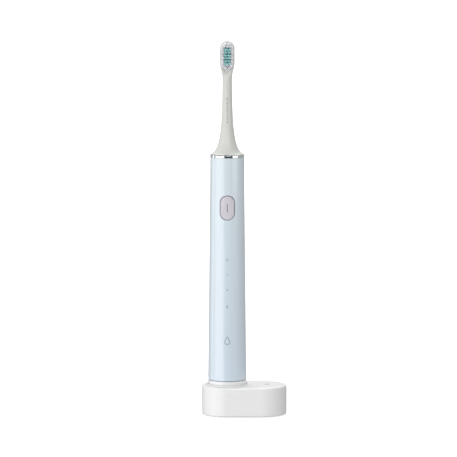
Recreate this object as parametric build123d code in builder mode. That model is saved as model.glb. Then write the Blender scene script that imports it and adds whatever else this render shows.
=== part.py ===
"""Electric toothbrush standing in its charging base.

Millimetres, +Z up. The origin is the centre of the base's footprint, on the surface that it stands
on. +X is to the right of someone facing the brush, and the button, the mode lights and the bristles
face -Y. The brush stands over the left-hand end of the base, on the axis x = dock_x.
"""

from build123d import *
from math import sqrt
import os

os.makedirs("parts", exist_ok=True)

# ======================================================================= driving dimensions

# Handle: a tapered tube on a bottom cap.
handle_length = 163.2
handle_base_radius = 14.0
handle_top_radius = 12.41
handle_wall = 1.8
handle_roof = 2.0
handle_edge = 0.3
cap_height = 4.7
cap_groove = 0.5
cap_floor = 2.0
cap_edge = 0.8
spigot_height = 8.0
spigot_wall = 1.8

# Charging base: a pill-shaped puck. Its end radius follows the collar round the brush.
base_length = 62.4
base_height = 21.9
base_shoulder = 3.3
base_wall = 2.2
base_roof = 2.6
base_top_edge = 1.3
base_foot_edge = 0.7
plate_thickness = 2.8
pad_thickness = 1.2
pad_proud = 0.6
pad_inset = 3.6
pad_edge = 0.3

# Seat of the brush: a shallow round recess, a raised collar and a hollow charging post.
seat_recess = 1.0
collar_proud = 1.2
collar_wall = 1.2
collar_edge = 0.4
post_radius = 5.0
post_height = 11.0
post_wall = 1.1
post_edge = 0.8

# Screws that close the base from below, hidden by the foot pad.
base_screw_radius = 1.1
base_screw_length = 8.0
base_screw_head_radius = 2.2
base_screw_head = 1.3
base_boss_radius = 2.6
pad_cover = 1.0

# Transmitter inside the post.
core_radius = 1.7
core_proud = 0.7
bobbin_wall = 0.45
bobbin_flange = 0.6
bobbin_foot_radius = 6.0
bobbin_foot = 1.6
coil_inset = 0.2

# Charger board and what is on it.
board_thickness = 1.2
board_depth = 20.0
board_bottom = 9.0
board_margin = 0.5
board_to_bobbin = 1.5
board_boss_radius = 2.2
board_screw_radius = 0.9
board_screw_length = 6.0
board_screw_head_radius = 1.7
board_screw_head = 1.1
capacitor_radius = 3.0
capacitor_height = 7.0
capacitor_edge = 0.5
inductor_side = 7.0
inductor_height = 4.0
inductor_edge = 1.2
chip_length = 5.0
chip_width = 4.0
chip_height = 1.2
chip_edge = 0.2
chip_spacing = 10.0
led_length = 1.6
led_width = 0.8
led_height = 0.6

# Status lens in the base's top, and the cord's gland in the rear wall.
lens_radius = 2.5
lens_thickness = 0.8
lens_stem_radius = 1.2
lens_reach = 4.5
lens_to_led = 0.6
gland_x = 0.0
gland_height = 8.6
gland_radius = 3.2
gland_flange_radius = 4.2
gland_flange = 1.5
gland_tail = 4.0
cord_hole_radius = 1.7

# Top of the handle: a spigot with a metal trim ring on it, and the rubber seal round the shaft.
ring_height = 1.9
ring_depth = 1.2
ring_proud = 0.04
ring_edge = 0.25
seal_radius = 4.0
seal_tip_radius = 3.0
seal_proud = 3.0

# Receiver round the socket in the bottom cap, and the cap's O-ring.
socket_wall = 1.2
socket_headroom = 0.6
receiver_coil_thickness = 2.3
receiver_sleeve_thickness = 0.8
receiver_height = 8.0
o_ring_radius = 0.66
o_ring_height = 2.8

# Battery: one 14500 cell.
battery_radius = 7.1
battery_length = 50.5
battery_edge = 0.5
battery_nub_radius = 2.75
battery_nub = 0.6
tab_thickness = 0.25
tab_width = 4.0
tab_length = 10.0
foam_thickness = 1.5

# Chassis: a half-round cradle with three bulkheads, flat at the front for the control board.
chassis_gap = 0.9
cradle_wall = 1.3
floor_thickness = 2.0
bulkhead_thickness = 4.0
bulkhead_clearance = 0.3
flat_reach = 7.3
control_board_width = 11.0
control_board_thickness = 1.0
control_board_overlap = 3.0
control_screw_radius = 0.8
control_screw_length = 5.0
control_screw_head_radius = 1.3
control_screw_head = 1.0
control_screw_offset = 3.9

# Button, centred on the front of the handle.
button_height = 127.1
button_width = 10.0
button_length = 17.3
button_proud = 0.5
button_edge = 0.35
button_gap = 0.45
button_travel = 0.4
button_stem_radius = 1.5
light_bar_width = 0.6
light_bar_length = 6.1
light_bar_depth = 0.8
seal_sheet_thickness = 0.55
seal_sheet_width = 12.0
seal_sheet_length = 23.0

# Tact switch behind the button.
switch_width = 4.5
switch_length = 4.5
switch_depth = 1.5
switch_plunger_radius = 0.8
switch_well = 0.8

# Mode lights: three round windows and a taller one for the battery, as heights on the handle.
mode_heights = [67.3, 78.5, 89.4]
battery_light_height = 54.9
mode_window_radius = 0.9
battery_window_width = 1.5
battery_window_length = 3.0
window_root = 1.0
well_width = 2.6
well_length = 3.8
guide_width = 4.8
guide_margin = 1.6

# Water-drop outline let into the front of the handle.
drop_height = 29.0
drop_radius = 2.1
drop_line = 0.45
drop_depth = 0.25
drop_arc_start = 150
drop_arc = 240

# Motor: a can with a stator, a rotor on a long shaft, and a torsion strip as the return spring.
motor_radius = 7.2
motor_length = 44.0
motor_headroom = 6.3
can_wall = 0.6
can_floor = 1.2
end_cap_thickness = 2.0
end_cap_spigot = 1.5
bush_radius = 3.4
lower_bush_length = 4.5
bush_plate_thickness = 2.0
strip_width = 3.0
strip_thickness = 0.7
strip_length = 12.0
strip_grip = 1.6
rotor_radius = 3.9
rotor_gap = 1.0
magnet_thickness = 0.95
magnet_count = 4
magnet_gap = 1.2
air_gap = 0.3
pole_gap = 4.4
shaft_radius = 2.0
shaft_proud = 18.0
shaft_flat = 0.4
shaft_flat_lead = 0.5

# Brush head: a flared skirt and a neck in one curve, then an oval head.
skirt_gap = 0.3
skirt_inset = 0.1
skirt_wall = 1.0
skirt_hollow = 5.2
skirt_hollow_rise = 1.3
throat_wall = 1.6
throat_height = 7.5
bell_flare = 1.2
bell_flare_share = 0.045
bell_waist = 0.2
bell_waist_share = 0.366
neck_radius = 3.36
neck_length = 58.9
head_length = 23.4
head_radius = 5.3
head_thickness = 5.0
head_front = 2.3
head_edge = 1.4
head_lip = 0.5
head_sink = 0.6
shoulder_length = 6.5
head_root = 2.0
insert_radius = 3.3
insert_start = 4.5
insert_length = 15.0
clip_width = 2.2
clip_length = 8.0
clip_thickness = 0.4

# Bristle field.
plate_rim = 0.9
tuft_plate_thickness = 1.4
tuft_radius = 0.75
tuft_length = 9.5
tuft_root = 0.8
group_pitch = 4.2
group_shift = 0.35
teal_spread = 1.2
teal_rise = 0.95
side_spread = 3.3
side_rise = 0.9

# White tufts round each end of the field: distance to the side, and distance beyond the centre of the
# head's round end. A tuft off the middle has a partner on the other side.
upper_tufts = [(0.0, 2.05), (2.2, 2.05), (1.05, 3.35)]
lower_tufts = [(0.0, 0.15), (2.4, 0.5), (1.25, 1.9), (0.0, 3.4)]

# Fits.
push_gap = 0.05
seat_clearance = 0.3
running_clearance = 0.03
sliding_clearance = 0.02

# ======================================================================= derived places

collar_radius = handle_base_radius + seat_clearance + collar_wall
base_depth = 2 * (collar_radius + base_shoulder)
end_radius = base_depth / 2
end_spacing = base_length - base_depth
dock_x = -end_spacing / 2
ceiling = base_height - base_roof
plate_top = pad_proud + plate_thickness
seat_z = base_height - seat_recess
post_top = seat_z + post_height
post_bore = post_radius - post_wall

cap_top = seat_z + cap_height
housing_z = cap_top + cap_groove
housing_top = housing_z + handle_length
cavity_top = housing_top - handle_roof

boss_offset = (end_radius - pad_inset - base_screw_head_radius - pad_cover) / sqrt(2)
boss_spacing_x = end_spacing + 2 * boss_offset
boss_spacing_y = 2 * boss_offset

board_top = board_bottom + board_thickness
board_right = end_spacing / 2 + boss_offset - base_boss_radius - board_margin
board_left = dock_x + bobbin_foot_radius + board_to_bobbin
board_length = board_right - board_left
board_x = (board_left + board_right) / 2
lens_x = end_spacing / 2 + lens_reach
board_boss_x = board_length / 2 - board_boss_radius - board_margin
board_boss_y = board_depth / 2 - board_boss_radius - board_margin
board_boss_points = [(board_x - board_boss_x, board_boss_y), (board_x + board_boss_x, -board_boss_y)]

BASE = (Align.CENTER, Align.CENTER, Align.MIN)
spin_axis = Axis((dock_x, 0, 0), (0, 0, 1))
rear_face = Plane(origin=(gland_x, end_radius, gland_height), x_dir=(-1, 0, 0), z_dir=(0, 1, 0))


def outer_radius(height):
    """Radius of the handle's skin at a height above the floor."""
    share = (height - housing_z) / handle_length
    return handle_base_radius + share * (handle_top_radius - handle_base_radius)


def inner_radius(height):
    """Radius of the handle's cavity at a height above the floor."""
    return outer_radius(height) - handle_wall


def turned(radius, low, high, mode=Mode.ADD):
    """A cylinder on the handle's axis between two heights."""
    with Locations((dock_x, 0, low)):
        Cylinder(radius, high - low, align=BASE, mode=mode)


def tapered(inset, low, high, mode=Mode.ADD):
    """The handle's taper between two heights, its skin moved in by inset."""
    with Locations((dock_x, 0, low)):
        Cone(outer_radius(low) - inset, outer_radius(high) - inset, high - low, align=BASE, mode=mode)


def facing_front(height, y=0.0):
    """Plane on the handle's axis that faces -Y: local x is +X and local y is +Z."""
    return Plane(origin=(dock_x, y, height), x_dir=(1, 0, 0), z_dir=(0, -1, 0))


# ======================================================================= charging base

with BuildPart() as base_housing:
    with BuildSketch(Plane.XY.offset(pad_proud)):
        SlotOverall(base_length, base_depth)
    extrude(amount=base_height - pad_proud)
    fillet(base_housing.faces().sort_by(Axis.Z)[-1].edges(), base_top_edge)
    fillet(base_housing.faces().sort_by(Axis.Z)[0].edges(), base_foot_edge)
    with BuildSketch(Plane.XY.offset(pad_proud)):
        SlotOverall(base_length - 2 * base_wall, base_depth - 2 * base_wall)
    extrude(amount=ceiling - pad_proud, mode=Mode.SUBTRACT)
    # Bosses for the screws that hold the plate.
    with BuildSketch(Plane.XY.offset(plate_top)):
        with GridLocations(boss_spacing_x, boss_spacing_y, 2, 2):
            Circle(base_boss_radius)
    extrude(amount=ceiling - plate_top)
    with BuildSketch(Plane.XY.offset(plate_top)):
        with GridLocations(boss_spacing_x, boss_spacing_y, 2, 2):
            Circle(base_screw_radius + sliding_clearance)
    extrude(amount=base_screw_length, mode=Mode.SUBTRACT)
    # Bosses that the charger board hangs from.
    with BuildSketch(Plane.XY.offset(board_top)):
        with Locations(board_boss_points):
            Circle(board_boss_radius)
    extrude(amount=ceiling - board_top)
    with BuildSketch(Plane.XY.offset(board_top)):
        with Locations(board_boss_points):
            Circle(board_screw_radius + sliding_clearance)
    extrude(amount=board_screw_length, mode=Mode.SUBTRACT)
    # Recess for the collar, and the hollow post that the brush stands over.
    turned(collar_radius + push_gap, seat_z, base_height, Mode.SUBTRACT)
    turned(post_radius, seat_z, post_top)
    fillet(base_housing.edges().filter_by(GeomType.CIRCLE).group_by(Axis.Z)[-1], post_edge)
    turned(post_bore, ceiling, post_top - post_wall, Mode.SUBTRACT)
    # Openings for the status lens and the cable gland.
    with Locations((lens_x, 0, base_height)):
        CounterBoreHole(lens_stem_radius + push_gap, lens_radius + push_gap, lens_thickness, base_roof)
    with BuildSketch(rear_face):
        Circle(gland_radius + push_gap)
    extrude(amount=-base_wall, mode=Mode.SUBTRACT)
base_housing.part.label = "base_housing"
export_step(base_housing.part, "parts/base_housing.step")

with BuildPart() as seat_ring:
    turned(collar_radius, seat_z, base_height + collar_proud)
    turned(collar_radius - collar_wall, seat_z, base_height + collar_proud, Mode.SUBTRACT)
    fillet(seat_ring.faces().sort_by(Axis.Z)[-1].edges(), collar_edge)
seat_ring.part.label = "seat_ring"
export_step(seat_ring.part, "parts/seat_ring.step")

with BuildPart() as base_plate:
    plate_gap = 2 * (base_wall + push_gap)
    with BuildSketch(Plane.XY.offset(pad_proud)):
        SlotOverall(base_length - plate_gap, base_depth - plate_gap)
    extrude(amount=plate_thickness)
    # Recess for the foot pad.
    recess_gap = 2 * (pad_inset - push_gap)
    with BuildSketch(Plane.XY.offset(pad_proud)):
        SlotOverall(base_length - recess_gap, base_depth - recess_gap)
    extrude(amount=pad_thickness - pad_proud, mode=Mode.SUBTRACT)
    # Pockets for the screw heads, and clearance holes for the shanks.
    with BuildSketch(Plane.XY.offset(pad_thickness)):
        with GridLocations(boss_spacing_x, boss_spacing_y, 2, 2):
            Circle(base_screw_head_radius + push_gap)
    extrude(amount=base_screw_head, mode=Mode.SUBTRACT)
    with BuildSketch(Plane.XY.offset(pad_thickness)):
        with GridLocations(boss_spacing_x, boss_spacing_y, 2, 2):
            Circle(base_screw_radius + push_gap)
    extrude(amount=plate_thickness, mode=Mode.SUBTRACT)
base_plate.part.label = "base_plate"
export_step(base_plate.part, "parts/base_plate.step")

with BuildPart() as foot_pad:
    with BuildSketch():
        SlotOverall(base_length - 2 * pad_inset, base_depth - 2 * pad_inset)
    extrude(amount=pad_thickness)
    fillet(foot_pad.faces().sort_by(Axis.Z)[0].edges(), pad_edge)
foot_pad.part.label = "foot_pad"
export_step(foot_pad.part, "parts/foot_pad.step")

with BuildPart() as base_screws:
    with GridLocations(boss_spacing_x, boss_spacing_y, 2, 2):
        with Locations((0, 0, pad_thickness)):
            Cylinder(base_screw_head_radius, base_screw_head, align=BASE)
            Cylinder(base_screw_radius, base_screw_length, align=BASE)
base_screws.part.label = "base_screws"
export_step(base_screws.part, "parts/base_screws.step")

# Transmitter: ferrite rod, bobbin with a wide foot under the roof, and the winding.
bobbin_bottom = ceiling - bobbin_foot
bobbin_top = post_top - post_wall - core_proud
bobbin_bore = core_radius + push_gap
bobbin_outer = bobbin_bore + bobbin_wall

with BuildPart() as transmitter_core:
    turned(core_radius, bobbin_bottom - core_proud, bobbin_top + core_proud / 2)
transmitter_core.part.label = "transmitter_core"
export_step(transmitter_core.part, "parts/transmitter_core.step")

with BuildPart() as transmitter_bobbin:
    turned(bobbin_foot_radius, bobbin_bottom, ceiling)
    turned(bobbin_outer, ceiling, bobbin_top)
    turned(post_bore - coil_inset, bobbin_top - bobbin_flange, bobbin_top)
    turned(bobbin_bore, bobbin_bottom, bobbin_top, Mode.SUBTRACT)
transmitter_bobbin.part.label = "transmitter_bobbin"
export_step(transmitter_bobbin.part, "parts/transmitter_bobbin.step")

with BuildPart() as transmitter_coil:
    coil_bottom = ceiling + push_gap
    coil_top = bobbin_top - bobbin_flange - push_gap
    turned(post_bore - 2 * coil_inset, coil_bottom, coil_top)
    turned(bobbin_outer + push_gap, coil_bottom, coil_top, Mode.SUBTRACT)
    fillet(transmitter_coil.edges().filter_by(GeomType.CIRCLE).sort_by(SortBy.RADIUS)[-2:], coil_inset)
transmitter_coil.part.label = "transmitter_coil"
export_step(transmitter_coil.part, "parts/transmitter_coil.step")

with BuildPart() as charger_board:
    with BuildSketch(Plane.XY.offset(board_bottom)):
        with Locations((board_x, 0)):
            RectangleRounded(board_length, board_depth, board_margin)
        with Locations(board_boss_points):
            Circle(board_screw_radius + push_gap, mode=Mode.SUBTRACT)
    extrude(amount=board_thickness)
charger_board.part.label = "charger_board"
export_step(charger_board.part, "parts/charger_board.step")

with BuildPart() as board_screws:
    with Locations(board_boss_points):
        with Locations((0, 0, board_bottom - board_screw_head)):
            Cylinder(board_screw_head_radius, board_screw_head, align=BASE)
            Cylinder(board_screw_radius, board_screw_length, align=BASE)
board_screws.part.label = "board_screws"
export_step(board_screws.part, "parts/board_screws.step")

with BuildPart() as charger_capacitor:
    with Locations((board_left + capacitor_radius + board_margin, -board_depth / 4, board_top)):
        Cylinder(capacitor_radius, capacitor_height, align=BASE)
    fillet(charger_capacitor.faces().sort_by(Axis.Z)[-1].edges(), capacitor_edge)
charger_capacitor.part.label = "charger_capacitor"
export_step(charger_capacitor.part, "parts/charger_capacitor.step")

with BuildPart() as charger_inductor:
    with Locations((board_x, board_depth / 4, board_top)):
        Box(inductor_side, inductor_side, inductor_height, align=BASE)
    fillet(charger_inductor.edges().filter_by(Axis.Z), inductor_edge)
charger_inductor.part.label = "charger_inductor"
export_step(charger_inductor.part, "parts/charger_inductor.step")

with BuildPart() as charger_chip:
    with Locations((board_x, -board_depth / 4, board_top)):
        Box(chip_length, chip_width, chip_height, align=BASE)
    chamfer(charger_chip.faces().sort_by(Axis.Z)[-1].edges(), chip_edge)
charger_chip.part.label = "charger_chip"
export_step(charger_chip.part, "parts/charger_chip.step")

with BuildPart() as status_led:
    with Locations((min(lens_x, board_right - led_width), 0, board_top)):
        Box(led_width, led_length, led_height, align=BASE)
status_led.part.label = "status_led"
export_step(status_led.part, "parts/status_led.step")

with BuildPart() as status_lens:
    with Locations((lens_x, 0, base_height)):
        Cylinder(lens_radius, lens_thickness, align=(Align.CENTER, Align.CENTER, Align.MAX))
    stem_bottom = board_top + led_height + lens_to_led
    with Locations((lens_x, 0, stem_bottom)):
        Cylinder(lens_stem_radius, base_height - stem_bottom, align=BASE)
status_lens.part.label = "status_lens"
export_step(status_lens.part, "parts/status_lens.step")

with BuildPart() as cable_gland:
    with BuildSketch(rear_face):
        Circle(gland_radius)
        Circle(cord_hole_radius, mode=Mode.SUBTRACT)
    extrude(amount=-(base_wall + gland_tail))
    with BuildSketch(rear_face.offset(-base_wall)):
        Circle(gland_flange_radius)
        Circle(cord_hole_radius, mode=Mode.SUBTRACT)
    extrude(amount=-gland_flange)
cable_gland.part.label = "cable_gland"
export_step(cable_gland.part, "parts/cable_gland.step")

# ======================================================================= handle: shells and seals

mode_z = [housing_z + height for height in mode_heights]
battery_light_z = housing_z + battery_light_height
button_z = housing_z + button_height
drop_z = housing_z + drop_height

spigot_radius = inner_radius(housing_z + spigot_height) - 2 * push_gap
spigot_top = cap_top + spigot_height
cap_floor_z = seat_z + cap_floor
socket_radius = post_radius + seat_clearance
socket_top = post_top + socket_headroom
receiver_inner = socket_radius + socket_wall + push_gap
receiver_z = cap_floor_z + 2 * push_gap
receiver_top = receiver_z + receiver_height
o_ring_z = housing_z + o_ring_height
o_ring_centre = inner_radius(o_ring_z) - push_gap - o_ring_radius
spigot_inner = spigot_radius - spigot_wall

ring_seat_radius = outer_radius(housing_top) - ring_depth
ring_radius = outer_radius(housing_top) + ring_proud
ring_top = housing_top + ring_height

# The parts of a window that stay behind the skin start at the front of the control board.
board_face = -(flat_reach + control_board_thickness)
window_back = board_face - window_root


def window_outlines(grow):
    """Outlines of the mode windows, each side moved out by grow, on a plane facing the front."""
    for height in mode_z:
        with Locations((0, height - battery_light_z)):
            Circle(mode_window_radius + grow)
    Rectangle(battery_window_width + 2 * grow, battery_window_length + 2 * grow)


with BuildPart() as drop_mark:
    # A circle and a point above it, joined by tangents, drawn as a thin closed line.
    with BuildSketch(facing_front(drop_z)) as drop:
        with BuildLine():
            outline = CenterArc((0, 0), drop_radius, drop_arc_start, drop_arc)
            point = (0, 2 * drop_radius)
            Line(outline @ 1, point)
            Line(point, outline @ 0)
        make_face()
        offset(amount=-drop_line, mode=Mode.SUBTRACT)
    extrude(amount=2 * handle_base_radius)
    tapered(0, housing_z, housing_top, Mode.INTERSECT)
    tapered(drop_depth, housing_z, housing_top, Mode.SUBTRACT)
drop_mark.part.label = "drop_mark"
export_step(drop_mark.part, "parts/drop_mark.step")

with BuildPart() as handle_housing:
    tapered(0, housing_z, housing_top)
    fillet(handle_housing.faces().sort_by(Axis.Z)[0].edges(), handle_edge)
    turned(ring_seat_radius, housing_top, ring_top - push_gap)
    tapered(handle_wall, housing_z, cavity_top, Mode.SUBTRACT)
    # Way through for the shaft's seal.
    turned(seal_radius + push_gap, cavity_top, ring_top, Mode.SUBTRACT)
    # Opening for the button and holes for the mode windows, through the front wall only.
    with BuildSketch(facing_front(button_z)):
        SlotOverall(button_length + 2 * button_gap, button_width + 2 * button_gap, rotation=90)
    extrude(amount=handle_base_radius, mode=Mode.SUBTRACT)
    with BuildSketch(facing_front(battery_light_z)):
        window_outlines(sliding_clearance)
    extrude(amount=handle_base_radius, mode=Mode.SUBTRACT)
    add(drop_mark.part, mode=Mode.SUBTRACT)
handle_housing.part.label = "handle_housing"
export_step(handle_housing.part, "parts/handle_housing.step")

with BuildPart() as mode_windows:
    with BuildSketch(facing_front(battery_light_z, window_back)):
        window_outlines(0)
    extrude(amount=handle_base_radius)
    tapered(0, housing_z, housing_top, Mode.INTERSECT)
mode_windows.part.label = "mode_windows"
export_step(mode_windows.part, "parts/mode_windows.step")

with BuildPart() as trim_ring:
    turned(ring_radius, housing_top + push_gap, ring_top)
    chamfer(trim_ring.edges(), ring_edge)
    turned(ring_seat_radius + push_gap, housing_top, ring_top, Mode.SUBTRACT)
trim_ring.part.label = "trim_ring"
export_step(trim_ring.part, "parts/trim_ring.step")

with BuildPart() as shaft_seal:
    turned(seal_radius, cavity_top, ring_top)
    with Locations((dock_x, 0, ring_top)):
        Cone(seal_radius, seal_tip_radius, seal_proud, align=BASE)
    turned(shaft_radius + running_clearance, cavity_top, ring_top + seal_proud, Mode.SUBTRACT)
shaft_seal.part.label = "shaft_seal"
export_step(shaft_seal.part, "parts/shaft_seal.step")

with BuildPart() as bottom_cap:
    turned(handle_base_radius, seat_z, cap_top)
    fillet(bottom_cap.faces().sort_by(Axis.Z)[0].edges(), cap_edge)
    turned(spigot_radius, cap_top, spigot_top)
    turned(spigot_inner, cap_floor_z, spigot_top, Mode.SUBTRACT)
    turned(socket_radius + socket_wall, cap_floor_z, socket_top + socket_wall)
    turned(socket_radius, seat_z, socket_top, Mode.SUBTRACT)
    with BuildSketch(Plane(origin=(dock_x, 0, o_ring_z - o_ring_radius - push_gap))):
        Circle(spigot_radius + push_gap)
        Circle(o_ring_centre - o_ring_radius - push_gap, mode=Mode.SUBTRACT)
    extrude(amount=2 * (o_ring_radius + push_gap), mode=Mode.SUBTRACT)
bottom_cap.part.label = "bottom_cap"
export_step(bottom_cap.part, "parts/bottom_cap.step")

with BuildPart() as bottom_seal:
    with Locations((dock_x, 0, o_ring_z)):
        Torus(o_ring_centre, o_ring_radius)
bottom_seal.part.label = "bottom_seal"
export_step(bottom_seal.part, "parts/bottom_seal.step")

# ======================================================================= handle: receiver and battery

with BuildPart() as receiver_coil:
    turned(receiver_inner + receiver_coil_thickness, receiver_z, receiver_top)
    turned(receiver_inner, receiver_z, receiver_top, Mode.SUBTRACT)
receiver_coil.part.label = "receiver_coil"
export_step(receiver_coil.part, "parts/receiver_coil.step")

with BuildPart() as receiver_sleeve:
    sleeve_inner = receiver_inner + receiver_coil_thickness + push_gap
    turned(min(sleeve_inner + receiver_sleeve_thickness, spigot_inner - push_gap), receiver_z, receiver_top)
    turned(sleeve_inner, receiver_z, receiver_top, Mode.SUBTRACT)
receiver_sleeve.part.label = "receiver_sleeve"
export_step(receiver_sleeve.part, "parts/receiver_sleeve.step")

chassis_z = socket_top + socket_wall + chassis_gap
foam_z = chassis_z + floor_thickness
lower_tab_z = foam_z + foam_thickness
battery_z = lower_tab_z + tab_thickness
battery_top = battery_z + battery_length
upper_tab_z = battery_top
middle_bulkhead_z = upper_tab_z + tab_thickness + push_gap
motor_top = cavity_top - motor_headroom
motor_z = motor_top - motor_length
upper_bulkhead_z = motor_z - push_gap - bulkhead_thickness
cradle_radius = max(battery_radius, motor_radius) + 2 * push_gap

with BuildPart() as battery_foam:
    turned(battery_radius, foam_z, lower_tab_z)
battery_foam.part.label = "battery_foam"
export_step(battery_foam.part, "parts/battery_foam.step")

with BuildPart() as battery_cell:
    turned(battery_radius, battery_z, battery_top - battery_nub)
    fillet(battery_cell.edges(), battery_edge)
    turned(battery_nub_radius, battery_top - battery_nub, battery_top)
battery_cell.part.label = "battery_cell"
export_step(battery_cell.part, "parts/battery_cell.step")

with BuildPart() as battery_tabs:
    with Locations((dock_x, 0, lower_tab_z), (dock_x, 0, upper_tab_z)):
        Box(tab_width, tab_length, tab_thickness, align=BASE)
battery_tabs.part.label = "battery_tabs"
export_step(battery_tabs.part, "parts/battery_tabs.step")

# ======================================================================= handle: chassis and controls

board_low = battery_light_z - battery_window_length - control_board_overlap
board_high = button_z + switch_length / 2 + 2 * control_board_overlap
screw_spots = [
    (-control_screw_offset, middle_bulkhead_z + bulkhead_thickness / 2),
    (control_screw_offset, upper_bulkhead_z + bulkhead_thickness / 2),
]

with BuildPart() as chassis:
    turned(cradle_radius + cradle_wall, chassis_z, motor_top)
    # Only the rear half of the cradle stays.
    with Locations((dock_x, 0, chassis_z)):
        half = (Align.CENTER, Align.MAX, Align.MIN)
        Box(2 * handle_base_radius, handle_base_radius, handle_length, align=half, mode=Mode.SUBTRACT)
    turned(cradle_radius, chassis_z, motor_top, Mode.SUBTRACT)
    for low, thickness in (
        (chassis_z, floor_thickness),
        (middle_bulkhead_z, bulkhead_thickness),
        (upper_bulkhead_z, bulkhead_thickness),
    ):
        turned(inner_radius(low + thickness) - bulkhead_clearance, low, low + thickness)
    # Flat face for the control board, and pilot holes for its screws.
    with Locations((dock_x, -flat_reach, chassis_z)):
        Box(2 * handle_base_radius, handle_base_radius, handle_length, align=half, mode=Mode.SUBTRACT)
    with BuildSketch(facing_front(0, -flat_reach)):
        with Locations(screw_spots):
            Circle(control_screw_radius + sliding_clearance)
    extrude(amount=-control_screw_length, mode=Mode.SUBTRACT)
chassis.part.label = "chassis"
export_step(chassis.part, "parts/chassis.step")

with BuildPart() as control_board:
    with BuildSketch(facing_front(0, -flat_reach)):
        with Locations((0, (board_low + board_high) / 2)):
            RectangleRounded(control_board_width, board_high - board_low, board_margin)
        with Locations(screw_spots):
            Circle(control_screw_radius + push_gap, mode=Mode.SUBTRACT)
    extrude(amount=control_board_thickness)
control_board.part.label = "control_board"
export_step(control_board.part, "parts/control_board.step")

with BuildPart() as control_screws:
    with BuildSketch(facing_front(0, board_face)):
        with Locations(screw_spots):
            Circle(control_screw_head_radius)
    extrude(amount=control_screw_head)
    with BuildSketch(facing_front(0, board_face)):
        with Locations(screw_spots):
            Circle(control_screw_radius)
    extrude(amount=-control_screw_length)
control_screws.part.label = "control_screws"
export_step(control_screws.part, "parts/control_screws.step")

# The chips sit on the board's front, between the mode lights and the switch.
upper_mode_z = max(mode_z)
chip_room = (button_z + upper_mode_z) / 2

with BuildPart() as controller_chip:
    with BuildSketch(facing_front(chip_room, board_face)):
        Rectangle(chip_width, chip_length)
    extrude(amount=chip_height)
controller_chip.part.label = "controller_chip"
export_step(controller_chip.part, "parts/controller_chip.step")

with BuildPart() as charge_chip:
    with BuildSketch(facing_front(chip_room - chip_spacing, board_face)):
        Rectangle(chip_width, chip_width)
    extrude(amount=chip_height)
charge_chip.part.label = "charge_chip"
export_step(charge_chip.part, "parts/charge_chip.step")

with BuildPart() as mode_leds:
    with BuildSketch(facing_front(0, board_face)):
        with Locations([(0, height) for height in mode_z + [battery_light_z]]):
            Rectangle(led_length, led_width)
    extrude(amount=led_height)
mode_leds.part.label = "mode_leds"
export_step(mode_leds.part, "parts/mode_leds.step")

with BuildPart() as light_guide:
    guide_low = battery_light_z - well_length / 2 - guide_margin
    guide_high = upper_mode_z + well_length / 2 + guide_margin
    guide_front = inner_radius(guide_high) - bulkhead_clearance
    guide_reach = sqrt(guide_front**2 - (guide_width / 2) ** 2)
    with BuildSketch(facing_front(0, board_face)):
        with Locations((0, (guide_low + guide_high) / 2)):
            Rectangle(guide_width, guide_high - guide_low)
        with Locations([(0, height) for height in mode_z + [battery_light_z]]):
            Rectangle(well_width, well_length, mode=Mode.SUBTRACT)
    extrude(amount=guide_reach + board_face)
light_guide.part.label = "light_guide"
export_step(light_guide.part, "parts/light_guide.step")

# ======================================================================= button

switch_face = board_face - switch_depth
plunger_front = switch_face - button_travel - push_gap
seal_outer = inner_radius(button_z + seal_sheet_length / 2) - push_gap
seal_inner = seal_outer - seal_sheet_thickness
button_back = seal_outer + button_travel + 2 * push_gap

with BuildPart() as tact_switch:
    with BuildSketch(facing_front(button_z, board_face)):
        Rectangle(switch_width, switch_length)
    extrude(amount=switch_depth)
    with BuildSketch(facing_front(button_z, switch_face)):
        Circle(switch_plunger_radius + running_clearance)
    extrude(amount=-switch_well, mode=Mode.SUBTRACT)
tact_switch.part.label = "tact_switch"
export_step(tact_switch.part, "parts/tact_switch.step")

with BuildPart() as switch_plunger:
    plunger_root = switch_well - button_travel - push_gap
    with BuildSketch(facing_front(button_z, switch_face + plunger_root)):
        Circle(switch_plunger_radius)
    extrude(amount=plunger_root + button_travel + push_gap)
switch_plunger.part.label = "switch_plunger"
export_step(switch_plunger.part, "parts/switch_plunger.step")

with BuildPart() as button_seal:
    with BuildSketch(facing_front(button_z)):
        Rectangle(seal_sheet_width, seal_sheet_length)
        Circle(button_stem_radius + running_clearance, mode=Mode.SUBTRACT)
    extrude(amount=handle_base_radius)
    turned(seal_outer, housing_z, housing_top, Mode.INTERSECT)
    turned(seal_inner, housing_z, housing_top, Mode.SUBTRACT)
button_seal.part.label = "button_seal"
export_step(button_seal.part, "parts/button_seal.step")

with BuildPart() as button_light_bar:
    bar_skin = outer_radius(button_z) + button_proud
    with BuildSketch(facing_front(button_z, light_bar_depth - bar_skin)):
        SlotOverall(light_bar_length, light_bar_width, rotation=90)
    extrude(amount=2 * light_bar_depth)
    tapered(-button_proud, housing_z, housing_top, Mode.INTERSECT)
button_light_bar.part.label = "button_light_bar"
export_step(button_light_bar.part, "parts/button_light_bar.step")

with BuildPart() as power_button:
    with BuildSketch(facing_front(button_z, -button_back)):
        SlotOverall(button_length, button_width, rotation=90)
    extrude(amount=handle_base_radius)
    tapered(-button_proud, housing_z, housing_top, Mode.INTERSECT)
    fillet(power_button.faces().sort_by(Axis.Y)[0].edges(), button_edge)
    with BuildSketch(facing_front(button_z, plunger_front)):
        Circle(button_stem_radius)
    extrude(amount=button_back + plunger_front)
    add(button_light_bar.part, mode=Mode.SUBTRACT)
power_button.part.label = "power_button"
export_step(power_button.part, "parts/power_button.step")

# ======================================================================= motor

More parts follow.
